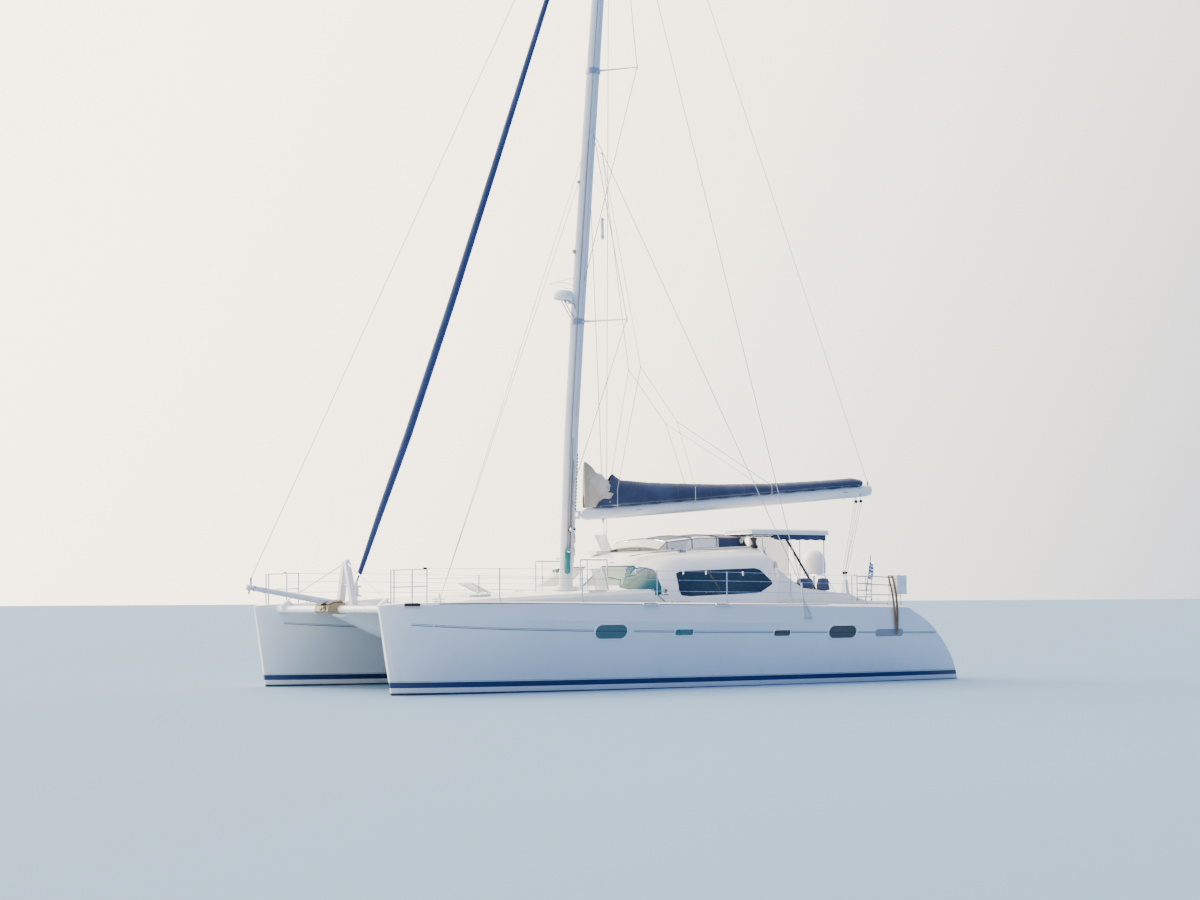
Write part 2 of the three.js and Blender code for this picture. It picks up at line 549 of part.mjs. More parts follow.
// Spray hood on the roof and the small roof over the helm.
const roofAt = (x) => 3000 - 0.045 * x;
const hoodX = [-700, -3050];
const hoodHalf = 1080;
const hood = loft([[hoodX[0], -20, 60], [hoodX[0] - 240, -10, 225], [hoodX[0] - 1200, 0, 290], [hoodX[1], 0, 250]]
  .map(([x, , up]) => {
    const base = roofAt(x) - 60;
    return [[x, hoodHalf, base], [x, hoodHalf - 30, base + up], [x, hoodHalf * 0.6, base + up + 70], [x, 0, base + up + 95],
      [x, -hoodHalf * 0.6, base + up + 70], [x, -hoodHalf + 30, base + up], [x, -hoodHalf, base]];
  }));
const hoodInner = hood.scale([0.97, 0.965, 1]).translate([-40, 0, -26]);
const hoodSolid = hood.subtract(join([hoodInner, houseGrown, box(-3400, hoodX[1] + 15, -hoodHalf + 40, hoodHalf - 40, 2600, 3340)]));
piece('spray_hood', biggest(hoodSolid), 0xe9e6da, 0.6);

const helmRoof = { x0: -5290, x1: -2990, y0: 560, y1: 1600, z: 3410 };
const roofPlate = loft([[0, helmRoof.z], [0, helmRoof.z + 95], [-40, helmRoof.z + 125]].map(([grow, z]) => [
  [helmRoof.x0 - grow, helmRoof.y0 - grow, z], [helmRoof.x1 + grow, helmRoof.y0 - grow, z],
  [helmRoof.x1 + grow, helmRoof.y1 + grow, z], [helmRoof.x0 - grow, helmRoof.y1 + grow, z]]));
piece('helm_roof', roofPlate, gelcoat, 0.4);

const console = { x0: -3480, x1: -3060 - joint, y0: 720, y1: 1720, top: 2640 };
const consoleSolid = prism([[console.x0, soleCockpit + 30 + joint], [console.x1, soleCockpit + 30 + joint], [console.x1, console.top + 60],
  [console.x0 + 90, console.top]], 'xz', console.y0, console.y1)
  .subtract(join([houseGrown, rod([-3500, 1220, 2090], [-3380 + joint, 1220, 2090], 23, 16)]));
piece('helm_console', consoleSolid, gelcoat, 0.4);

const roofUnder = helmRoof.z + 4;
const roofFrame = join([
  bars([[-5190, 1540, roofUnder], [-5190, 1540, 2460], [-5190, 2060, 1960]], 15, 8),
  bars([[-5190, 620, roofUnder], [-5190, 620, 2460], [-5190, 1540, 2460]], 15, 8),
  rod([-4000, 1540, roofUnder], [-4560, 2060, 2030], 15, 8),
  rod([-3100, 1540, helmRoof.z - 20], [-5190, 1540, helmRoof.z - 20], 14, 8),
  rod([-3100, 620, helmRoof.z - 20], [-5190, 620, helmRoof.z - 20], 14, 8),
  rod([-3300, 1540, helmRoof.z - 20], [-3300, 620, helmRoof.z - 20], 14, 8),
  rod([-3345, 1540, helmRoof.z - 20], [-3345, 1540, 2640], 14, 8),
  rod([-3345, 620, helmRoof.z - 20], [-3345, 760, 2640], 14, 8),
]).subtract(join([
  cockpitRaw.translate([0, 0, joint]), consoleSolid.translate([0, 0, joint]),
  box(helmRoof.x0 - 60, helmRoof.x1 + 60, helmRoof.y0 - 60, helmRoof.y1 + 60, helmRoof.z - joint, helmRoof.z + 200),
]));
piece('helm_roof_frame', biggest(roofFrame), steel, 0.3, 0.9);

const seat = join([
  box(-4750, -4250, 760, 1680, 1800, 1880), box(-4790, -4700, 760, 1680, 1800, 2300),
  box(-4620, -4380, 1100, 1340, soleCockpit + 30 + joint, 1810),
]);
piece('helm_seat', seat, navy, 0.8);

// Wheel on the console; its axle runs in the console's bore.
const wheel = { x: -3560, y: 1220, z: 2090, radius: 380 };
const rim = new THREE.TorusGeometry(wheel.radius, 17, 5, 24);
const wheelParts = [toSolid(rim), rod([0, 0, -30], [0, 0, 40], 55, 16), rod([0, 0, 30], [0, 0, 180], 22, 12)];
for (let i = 0; i < 5; i += 1) {
  const t = (i / 5) * 2 * Math.PI + Math.PI / 2;
  wheelParts.push(rod([0, 0, 0], [wheel.radius * Math.cos(t), wheel.radius * Math.sin(t), 0], 10, 6));
}
piece('steering_wheel', join(wheelParts).rotate([0, 90, 0]).translate([wheel.x, wheel.y, wheel.z]), steel, 0.3, 0.9);

// Sliding door behind the doorway in the aft wall.
const door = join([
  box(-3108, -3070, doorway.y - doorway.half - 40, doorway.y + doorway.half + 40, soleCockpit + 30.5, doorway.head + 30),
]).subtract(box(-3200, -3000, doorway.y - doorway.half + 60, doorway.y + doorway.half - 60, 1480, 2400));
const doorGlass = box(-3094, -3084, doorway.y - doorway.half + 40, doorway.y + doorway.half - 40, 1460, 2420);
piece('saloon_door', join([door, doorGlass]), 0x8c9196, 0.3, 0.6);

// Saloon seat and table, seen through the windows.
const settee = join([
  box(-1900, 300, -1900, 1900, soleSaloon + joint, 1180), box(-100, 420, -1500, 1500, 1170, 1600),
  box(300, 440, -1500, 1500, 1170, 1980), box(-2300, -1700, 1150, 1850, 1170, 1950),
  box(-1900, -1300, -1850, -1100, 1170, 1950),
]);
piece('saloon_settee', settee, 0x6a6258, 0.9);
const table = join([box(-1150, -350, -700, 700, 1800, 1840), box(-830, -670, -80, 80, 1180 + joint, 1810)]);
piece('saloon_table', table, 0x7a4b2c, 0.5);

// Aft: traveller bar with the sheet posts, dome on its pole, staff, case, rope.
const posts = { x: -6330, y: 950 };
const traveller = join([
  box(-6400, -6300, -1850, 1850, 1790 + joint, 1845),
  loft([[1840, 150, 60], [2150, 80, 45], [2350, 55, 40]].map(([z, a, b]) => [[posts.x - b, posts.y - a, z], [posts.x + b, posts.y - a, z],
    [posts.x + b, posts.y + a, z], [posts.x - b, posts.y + a, z]])),
  ...[-60, 60].map((y) => rod([posts.x, posts.y + y * 0.7, 2300], [posts.x, posts.y + y * 0.7, 2470], 12, 8)),
]);
piece('mainsheet_stand', traveller, gelcoat, 0.35);
const domePole = { x: -6340, y: -260 };
const domeRows = [
  [0, 1845 + joint], [90, 1845 + joint], [90, 1865], [32, 1870], [32, 2470], [150, 2490], [290, 2530], [300, 2700],
  [285, 2860], [240, 2990], [150, 3085], [60, 3110], [0, 3113],
];
piece('satellite_dome', turned(domeRows, domePole.x, domePole.y, 16), 0xf6f6f4, 0.3);
const staff = join([
  rod([-6250, 1780, 1780], [-6480, 1740, 2900], 12, 8),
]).subtract(cockpitRaw.translate([0, 0, joint]));
piece('flag_staff', staff, 0x8a6b45, 0.5);
const flagRows = [[2780, 0, 0], [2640, 60, 90], [2500, 30, 160], [2380, 40, 130]];
const flag = loft(flagRows.map(([z, out, wide]) => {
  const down = (2900 - z) / 1120;
  const [x, y] = [-6480 + down * 230 - 12.6, 1740 + down * 40];
  return [[x, y - 3, z], [x, y + 3, z], [x - 14 - wide, y + 6 + out, z - 20], [x - 14 - wide, y + out, z - 20]];
}));
piece('flag', flag, 0x2b5fb0, 0.9);

// Stern case on the rail, and the coil of rope hung over it.
const caseY = Math.max(railPoint(-5650, 1)[1], railPoint(-5400, 1)[1]) + 10.1 + joint;
piece('stern_case', box(-5680, -5390, caseY, caseY + 170, 1990, 2425), 0xf0f0ee, 0.5);

// Hatch lids, open as in the photograph; each turns on a barrel behind its coaming.
function lid({ size, open, x, y, deck }) {
  const inner = size - 70;
  const panel = join([
    box(4, size, -size / 2, size / 2, 12, 44).subtract(box(60, size - 60, -inner / 2 + 10, inner / 2 - 10, 0, 60)),
    box(50, size - 50, -inner / 2, inner / 2, 22, 34), rod([0, -size / 2 + 60, 0], [0, size / 2 - 60, 0], barrel, 12),
  ]);
  return panel.rotate([0, -open, 0]).translate([x, y, deck + coamingHigh - 7]);
}
piece('hatch_side', lid(hatches.side), 0x9fb0b8, 0.3);
piece('hatch_fore', lid(hatches.fore), 0x9fb0b8, 0.3);
piece('hatch_roof', lid(hatches.roof), 0x9fb0b8, 0.3);

// Boom, lying a little to port of the centreline, with the stowed mainsail.
const boomSwing = 8.8;
const boomRise = 0.0885;
const alongBoom = (s) => gooseneck[2] + boomRise * s;
const boomRing = (s, a, b, lift = 0) => Array.from({ length: 12 }, (_, i) => {
  const t = (i / 12) * 2 * Math.PI;
  return [-s, a * Math.cos(t), alongBoom(s) + lift + b * Math.sin(t)];
});
const place = (solid) => solid.rotate([0, 0, -boomSwing]).translate([gooseneck[0], 0, 0]);
const boomRows = [[70, 70, 90], [200, 100, 140], [7640, 100, 140], [7830, 90, 122]];
const boomGrown = loft(boomRows.map(([s, a, b]) => boomRing(s, a + joint, b + joint)));
const boomPin = onGooseneck(rod([0, 0, joint - 50], [0, 0, 50 - joint], 28, 14));
const boom = join([
  place(join([loft(boomRows.map(([s, a, b]) => boomRing(s, a, b))), box(-120, 0, -22, 22, 3812, 3888)])), boomPin,
]);
piece('boom', boom, gelcoat, 0.35);
const coverRows = [
  // along the boom, half width, height above the boom's middle
  [250, 90, 1000], [420, 150, 880], [700, 200, 720], [1500, 215, 640], [2300, 205, 560], [3600, 200, 440],
  [5000, 185, 360], [6400, 170, 330], [7300, 140, 330], [7560, 110, 270],
];
const cover = loft(coverRows.map(([s, half, high]) => {
  const base = alongBoom(s);
  const up = (share) => base + 170 + (high - 170) * share;
  const port = [[60, base + 140 + joint], [half, up(0)], [half * 0.96, up(0.45)], [half * 0.45, up(0.88)]];
  return [...port, [0, up(1)], ...port.slice().reverse().map(([y, z]) => [-y, z])].map(([y, z]) => [-s, y, z]);
}));
piece('stowed_mainsail', place(cover), navy, 0.9);
const jackTop = (side) => new THREE.Vector3(onAxis(12350) - gooseneck[0], 0, 12350)
  .applyAxisAngle(new THREE.Vector3(0, 0, side), (boomSwing * Math.PI) / 180).toArray();
const jackFeet = [880, 2900, 4950];
const jackLow = (k) => [-k, 236, alongBoom(k) + 560 - 0.05 * k];
const jackFork = [[-1450, 330, 7300], [-2400, 300, 6050]];
const jackSide = (side) => join([
  rod(jackTop(side), jackFork[0], 7, 4), rod(jackFork[0], jackFork[1], 7, 4),
  rod(jackFork[0], jackLow(jackFeet[0]), 7, 4),
  rod(jackFork[1], jackLow(jackFeet[1]), 7, 4), rod(jackFork[1], jackLow(jackFeet[2]), 7, 4),
  ...jackFork.map((p) => ball(p, 16, 6)),
  ...jackFeet.flatMap((k) => [
    rod(jackLow(k), [-k, 236, alongBoom(k) + 120], 8, 4), rod([-k, 236, alongBoom(k) + 125], [-k, 60, alongBoom(k) + 20], 8, 4),
    ball([-k, 236, alongBoom(k) + 122], 12, 6), ball(jackLow(k), 12, 6),
  ]),
]);
const jacks = join([jackSide(1), mirror(jackSide(-1)), ball(jackTop(1), 30, 8)]).subtract(boomGrown);
piece('lazy_jacks', place(biggest(jacks)), 0xd8d8d0, 0.8);
const liftFoot = new THREE.Vector3(-7760, 0, alongBoom(7760))
  .applyAxisAngle(new THREE.Vector3(0, 0, 1), (-boomSwing * Math.PI) / 180);
liftFoot.x += gooseneck[0];
const lift = join([
  rod([liftFoot.x, liftFoot.y, liftFoot.z + 110], [liftFoot.x, liftFoot.y, liftFoot.z + 220], 24, 8),
  rod([liftFoot.x, liftFoot.y, liftFoot.z + 200], [onAxis(22000), 0, 22000], 8, 5),
  rod([onAxis(21980), 0, 21980], [onAxis(22058.4), 0, 22058.4], 15, 8),
]);
piece('topping_lift', lift.subtract(boom.translate([0, 0, joint])), 0xd8d8d0, 0.8);

// Rudders, drive legs and propellers.
const rudderSolid = join([
  loft([[rudder.top, 1, 1], [-1200, 0.82, 0.8], [rudder.foot, 0.55, 0.3]].map(([z, long, thick]) =>
    foil(rudder.x + rudder.nose * long, rudder.x + rudder.tail * long, rudder.half * thick, hullY, z))),
  rod([rudder.x, hullY, rudder.top - 60], [rudder.x, hullY, 60], rudder.stock, 24),
]);
piece('rudder_port', rudderSolid, navy, 0.6);
piece('rudder_starboard', mirror(rudderSolid), navy, 0.6);
const driveSolid = join([
  loft([[-380, 1], [-640, 0.85]].map(([z, k]) => foil(drive.x + 150 * k, drive.x - 150 * k, 55 * k, hullY, z))),
  rod([drive.x + 190, hullY, drive.depth], [drive.propX + 60.5, hullY, drive.depth], 62, 14, 46),
  loft([[-640, 0.85], [-760, 0.8]].map(([z, k]) => foil(drive.x + 150 * k, drive.x - 150 * k, 50 * k, hullY, z))),
]).subtract(hullGrown);
const driveBody = biggest(driveSolid);
piece('drive_leg_port', driveBody, navy, 0.5);
piece('drive_leg_starboard', mirror(driveBody), navy, 0.5);
const prop = () => {
  const parts = [rod([-60, 0, 0], [60, 0, 0], 52, 10, 34)];
  for (let i = 0; i < 3; i += 1) {
    const blade = loft([[30, 45, 10, 48], [120, 85, 8, 34], [200, 60, 5, 22], [225, 24, 3, 18]].map(([z, half, thick, turn]) => {
      const [c, s] = [Math.cos((turn * Math.PI) / 180), Math.sin((turn * Math.PI) / 180)];
      return [[-half, -thick], [half, -thick], [half, thick], [-half, thick]].map(([u, v]) => [u * s - v * c, u * c + v * s, z]);
    }));
    parts.push(blade.rotate([i * 120, 0, 0]));
  }
  return join(parts);
};
const propSolid = prop().translate([drive.propX, hullY, drive.depth]);
piece('propeller_port', propSolid, 0xb58a4a, 0.35, 0.8);
piece('propeller_starboard', mirror(propSolid), 0xb58a4a, 0.35, 0.8);

export default group;
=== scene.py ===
# Sailing catamaran afloat: the finishes of its solids, and the fittings, ropes and cloth on them.
# Metres; x runs to the bows, y to port, z up from the waterline.
import math

import bmesh
import bpy
from mathutils import Matrix, Vector
from mathutils.bvhtree import BVHTree


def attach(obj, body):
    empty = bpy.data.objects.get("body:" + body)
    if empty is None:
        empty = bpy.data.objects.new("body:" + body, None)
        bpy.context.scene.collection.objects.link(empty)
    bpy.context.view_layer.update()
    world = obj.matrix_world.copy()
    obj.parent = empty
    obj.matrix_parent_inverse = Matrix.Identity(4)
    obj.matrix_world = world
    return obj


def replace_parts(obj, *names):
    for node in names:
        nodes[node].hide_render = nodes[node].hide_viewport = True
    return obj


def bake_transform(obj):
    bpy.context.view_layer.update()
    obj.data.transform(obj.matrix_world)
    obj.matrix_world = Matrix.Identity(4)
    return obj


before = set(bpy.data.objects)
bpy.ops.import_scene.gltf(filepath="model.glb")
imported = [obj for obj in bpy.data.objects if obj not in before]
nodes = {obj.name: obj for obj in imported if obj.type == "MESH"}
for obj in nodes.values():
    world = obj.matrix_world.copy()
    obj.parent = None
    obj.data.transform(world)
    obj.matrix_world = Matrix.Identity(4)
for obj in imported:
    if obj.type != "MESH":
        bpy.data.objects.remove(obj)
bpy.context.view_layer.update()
scene = bpy.context.scene


# Camera, floor and light

cameraSettings = {
    "place": (27.392, 41.328, 1.872), "yaw": -123.36, "pitch": 4.041, "roll": -0.328,
    "focalPixels": 2137.6, "imageWide": 1200, "sensor": 36.0,
}


def makeCamera(s):
    data = bpy.data.cameras.new("camera")
    data.sensor_width = s["sensor"]
    data.lens = s["sensor"] * s["focalPixels"] / s["imageWide"]
    data.clip_end = 3000
    camera = bpy.data.objects.new("camera", data)
    scene.collection.objects.link(camera)
    yaw, pitch, roll = (math.radians(s[key]) for key in ("yaw", "pitch", "roll"))
    ahead = Vector((math.cos(yaw) * math.cos(pitch), math.sin(yaw) * math.cos(pitch), math.sin(pitch)))
    right = Vector((math.sin(yaw), -math.cos(yaw), 0))
    up = right.cross(ahead)
    rightRolled = right * math.cos(roll) + up * math.sin(roll)
    upRolled = up * math.cos(roll) - right * math.sin(roll)
    turn = Matrix((rightRolled, upRolled, -ahead)).transposed()
    camera.matrix_world = Matrix.Translation(s["place"]) @ turn.to_4x4()
    scene.camera = camera


makeCamera(cameraSettings)
print("camera set")


# Node helpers for materials

def put(tree, kind, inputs=None, **settings):
    node = tree.nodes.new(kind)
    for key, value in settings.items():
        setattr(node, key, value)
    for key, value in (inputs or {}).items():
        if isinstance(value, bpy.types.NodeSocket):
            tree.links.new(value, node.inputs[key])
        else:
            node.inputs[key].default_value = value
    return node


def rgba(color):
    return (*color, 1.0)


def newMaterial(name, color, roughness, **shader):
    material = bpy.data.materials.new(name)
    material.use_nodes = True
    bsdf = material.node_tree.nodes["Principled BSDF"]
    bsdf.inputs["Base Color"].default_value = rgba(color)
    bsdf.inputs["Roughness"].default_value = roughness
    for key, value in shader.items():
        bsdf.inputs[key.replace("_", " ")].default_value = value
    material.diffuse_color = rgba(color)
    return material, material.node_tree, bsdf


def coordinates(tree, stretch=(1, 1, 1), turn=(0, 0, 0), output="Object"):
    source = put(tree, "ShaderNodeTexCoord").outputs[output]
    return put(tree, "ShaderNodeMapping", {"Vector": source, "Scale": stretch, "Rotation": turn}).outputs[0]


def noise(tree, scale, detail=3.0, stretch=(1, 1, 1), rough=0.5):
    made = put(tree, "ShaderNodeTexNoise", {"Vector": coordinates(tree, stretch), "Scale": scale, "Detail": detail,
                                            "Roughness": rough})
    return made.outputs["Fac"]


def ramp(tree, value, low, high, outLow=0.0, outHigh=1.0):
    made = put(tree, "ShaderNodeMapRange", {"Value": value, "From Min": low, "From Max": high, "To Min": outLow,
                                            "To Max": outHigh}, interpolation_type="SMOOTHSTEP")
    return made.outputs[0]


def mathNode(tree, operation, a, b=0.0, c=0.0):
    return put(tree, "ShaderNodeMath", {0: a, 1: b, 2: c}, operation=operation).outputs[0]


def mixColor(tree, factor, first, second, blend="MIX"):
    node = put(tree, "ShaderNodeMix", data_type="RGBA", blend_type=blend)
    for key, value in ((0, factor), (6, first), (7, second)):
        if isinstance(value, bpy.types.NodeSocket):
            tree.links.new(value, node.inputs[key])
        else:
            node.inputs[key].default_value = value if key == 0 else rgba(value)
    return node.outputs[2]


def bump(tree, bsdf, height, strength, distance):
    node = put(tree, "ShaderNodeBump", {"Height": height, "Strength": strength, "Distance": distance})
    tree.links.new(node.outputs[0], bsdf.inputs["Normal"])
    return node


def patchy(tree, bsdf, first, second, scale=2.0, low=0.35, high=0.65, stretch=(1, 1, 1)):
    spots = ramp(tree, noise(tree, scale, 4, stretch), low, high)
    tree.links.new(mixColor(tree, spots, first, second), bsdf.inputs["Base Color"])


# Finishes, by name

finishes = {}

# Paint lines of the hull: height at x 0, slope and bend along x, in metres.
paintLines = {
    "bootTop": (0.222, 0.0036, 0.00029), "bootLow": (0.115, 0.0025, 0.00030), "bottomPaint": (0.015, 0.0022, 0.00034),
    "fineLine": (0.245, 0.0036, 0.00029),
}


def lineHeight(tree, x, line):
    a, b, c = line
    slope = mathNode(tree, "MULTIPLY_ADD", x, c, b)
    return mathNode(tree, "MULTIPLY_ADD", slope, x, a)


def below(tree, z, height, soft=0.004):
    gap = mathNode(tree, "SUBTRACT", height, z)
    return ramp(tree, gap, -soft, soft)


def hullFinish():
    material, tree, bsdf = newMaterial("hullGelcoat", (0.80, 0.815, 0.83), 0.2, Coat_Weight=0.35, Coat_Roughness=0.08)
    split = put(tree, "ShaderNodeSeparateXYZ", {0: put(tree, "ShaderNodeTexCoord").outputs["Object"]})
    x, z = split.outputs[0], split.outputs[2]
    cloud = ramp(tree, noise(tree, 0.7, 3), 0.3, 0.7)
    color = mixColor(tree, cloud, (0.79, 0.805, 0.825), (0.83, 0.84, 0.845))
    streak = ramp(tree, noise(tree, 5.0, 4, (1, 1, 0.12)), 0.56, 0.78, 0, 0.32)
    lowDown = ramp(tree, z, 1.2, 0.25)
    color = mixColor(tree, mathNode(tree, "MULTIPLY", streak, lowDown), color, (0.60, 0.585, 0.53))
    scum = ramp(tree, mathNode(tree, "ADD", z, mathNode(tree, "MULTIPLY", noise(tree, 3.0, 5), 0.12)), 0.22, 0.10, 0,
                0.35)
    color = mixColor(tree, scum, color, (0.62, 0.58, 0.48))
    navy = (0.012, 0.025, 0.11)
    stripe = mathNode(tree, "SUBTRACT", below(tree, z, lineHeight(tree, x, paintLines["bootTop"])),
                      below(tree, z, lineHeight(tree, x, paintLines["bootLow"])))
    color = mixColor(tree, stripe, color, navy)
    finePaint = lineHeight(tree, x, paintLines["fineLine"])
    fine = mathNode(tree, "SUBTRACT", below(tree, z, finePaint, 0.002),
                    below(tree, z, mathNode(tree, "SUBTRACT", finePaint, 0.008), 0.002))
    color = mixColor(tree, fine, color, (0.10, 0.13, 0.22))
    bottom = below(tree, z, lineHeight(tree, x, paintLines["bottomPaint"]))
    growth = ramp(tree, noise(tree, 9.0, 6), 0.35, 0.7)
    color = mixColor(tree, bottom, color, mixColor(tree, growth, (0.010, 0.018, 0.045), (0.035, 0.045, 0.05)))
    tree.links.new(color, bsdf.inputs["Base Color"])
    gloss = mixColor(tree, bottom, (0.2, 0.2, 0.2), (0.7, 0.7, 0.7))
    tree.links.new(gloss, bsdf.inputs["Roughness"])
    bump(tree, bsdf, noise(tree, 1.6, 2), 0.10, 0.02)
    return material


def gelcoatFinish():
    material, tree, bsdf = newMaterial("gelcoat", (0.84, 0.845, 0.85), 0.24, Coat_Weight=0.3, Coat_Roughness=0.1)
    cloud = ramp(tree, noise(tree, 1.3, 4), 0.3, 0.7)
    color = mixColor(tree, cloud, (0.82, 0.825, 0.83), (0.86, 0.862, 0.86))
    dirt = ramp(tree, noise(tree, 6.0, 6, (1, 1, 0.4)), 0.58, 0.8, 0, 0.22)
    tree.links.new(mixColor(tree, dirt, color, (0.62, 0.60, 0.54)), bsdf.inputs["Base Color"])
    bump(tree, bsdf, noise(tree, 4.0, 2), 0.06, 0.01)
    return material


def deckFinish():
    material, tree, bsdf = newMaterial("deckGelcoat", (0.82, 0.815, 0.79), 0.42)
    cloud = ramp(tree, noise(tree, 1.8, 5), 0.3, 0.7)
    color = mixColor(tree, cloud, (0.80, 0.80, 0.775), (0.85, 0.845, 0.825))
    dirt = ramp(tree, noise(tree, 7.0, 7), 0.55, 0.8, 0, 0.3)
    tree.links.new(mixColor(tree, dirt, color, (0.58, 0.55, 0.48)), bsdf.inputs["Base Color"])
    grain = put(tree, "ShaderNodeTexVoronoi", {"Vector": coordinates(tree), "Scale": 160.0}).outputs["Distance"]
    bump(tree, bsdf, grain, 0.18, 0.002)
    return material


def speckled(name, color, roughness, first, second, patches, grain, **shader):
    material, tree, bsdf = newMaterial(name, color, roughness, **shader)
    patchy(tree, bsdf, first, second, *patches)
    scale, detail, strength, distance = grain
    bump(tree, bsdf, noise(tree, scale, detail), strength, distance)
    return material


def glassFinish(name, deep, pale, clear, scale=1.1):
    return speckled(name, deep, 0.03, deep, pale, (scale, 0.25, 0.75, (1, 1, 1.6)), (1.5, 1, 0.04, 0.01), Alpha=clear,
                    Coat_Weight=0.6, Coat_Roughness=0.02)


def steelFinish():
    material, tree, bsdf = newMaterial("polishedSteel", (0.72, 0.73, 0.75), 0.2, Metallic=1.0)
    rough = ramp(tree, noise(tree, 22.0, 4), 0.3, 0.7, 0.13, 0.3)
    tree.links.new(rough, bsdf.inputs["Roughness"])
    tea = ramp(tree, noise(tree, 9.0, 6), 0.62, 0.8, 0, 0.35)
    tree.links.new(mixColor(tree, tea, (0.74, 0.75, 0.77), (0.50, 0.40, 0.30)), bsdf.inputs["Base Color"])
    return material


def wireFinish():
    material, tree, bsdf = newMaterial("rigWire", (0.62, 0.63, 0.65), 0.34, Metallic=1.0)
    # Close bands of the same steel, lighter and darker along the wire: painted highlight and shade of the strands.
    lay = waves(tree, "Z", {"Vector": coordinates(tree), "Scale": 60.0})
    tree.links.new(mixColor(tree, lay, (0.50, 0.51, 0.53), (0.70, 0.71, 0.73)), bsdf.inputs["Base Color"])
    return material


def paintedMetalFinish(name, color, roughness=0.3):
    material, tree, bsdf = newMaterial(name, color, roughness, Coat_Weight=0.25, Coat_Roughness=0.12)
    worn = tuple(channel * 0.86 for channel in color)
    patchy(tree, bsdf, color, worn, 2.4, 0.45, 0.8, (1, 1, 0.35))
    rough = ramp(tree, noise(tree, 12.0, 4), 0.3, 0.7, roughness * 0.8, roughness * 1.3)
    tree.links.new(rough, bsdf.inputs["Roughness"])
    bump(tree, bsdf, noise(tree, 8.0, 3), 0.05, 0.004)
    return material


def waves(tree, direction, inputs):
    return put(tree, "ShaderNodeTexWave", inputs, bands_direction=direction).outputs["Fac"]


weaveToWave = 6.28          # threads per metre over the wave texture's scale


def clothFinish(name, color, faded, weave=420.0, roughness=0.9, fold=2.5):
    material, tree, bsdf = newMaterial(name, color, roughness, Sheen_Weight=0.25, Sheen_Roughness=0.5)
    patchy(tree, bsdf, color, faded, 1.9, 0.35, 0.8)
    across, upward = (waves(tree, way, {"Vector": coordinates(tree), "Scale": weave / weaveToWave}) for way in "XZ")
    threads = mathNode(tree, "MULTIPLY", mathNode(tree, "MULTIPLY", across, upward), 0.02)
    creases = noise(tree, fold, 5, (0.6, 1, 1.8))
    bump(tree, bsdf, mathNode(tree, "ADD", creases, threads), 0.55, 0.05)
    return material


def ropeFinish(name, color, dark, fleck=None):
    material, tree, bsdf = newMaterial(name, color, 0.85, Sheen_Weight=0.2)
    uv = coordinates(tree, output="UV")
    lay = waves(tree, "DIAGONAL", {"Vector": uv, "Scale": 1.0, "Distortion": 0.6})
    # The darker colour sits in the strand grooves, on the low side of the same wave as the bump: painted shade between
    # the strands; for the blue-flecked rope it is also the fleck's own colour.
    tree.links.new(mixColor(tree, ramp(tree, lay, 0.15, 0.8), dark, fleck or color), bsdf.inputs["Base Color"])
    bump(tree, bsdf, lay, 0.7, 0.004)
    return material


def woodFinish(name, light, dark, planks=0.0, roughness=0.5, coat=0.0):
    material, tree, bsdf = newMaterial(name, light, roughness, Coat_Weight=coat)
    grain = noise(tree, 14.0, 8, (0.25, 3, 3), 0.65)
    color = mixColor(tree, ramp(tree, grain, 0.3, 0.72), dark, light)
    if planks:
        split = put(tree, "ShaderNodeSeparateXYZ", {0: put(tree, "ShaderNodeTexCoord").outputs["Object"]})
        share = mathNode(tree, "FRACT", mathNode(tree, "DIVIDE", split.outputs[1], planks))
        seam = mathNode(tree, "ADD", ramp(tree, share, 0.06, 0.02), ramp(tree, share, 0.94, 0.98))
        color = mixColor(tree, seam, color, (0.03, 0.03, 0.03))
    tree.links.new(color, bsdf.inputs["Base Color"])
    bump(tree, bsdf, grain, 0.25, 0.004)
    return material


def plasticFinish(name, color, roughness, grain=60.0, strength=0.12):
    lighter = tuple(min(1.0, channel * 1.18 + 0.004) for channel in color)
    return speckled(name, color, roughness, color, lighter, (5.0, 0.4, 0.75), (grain, 3, strength, 0.003))


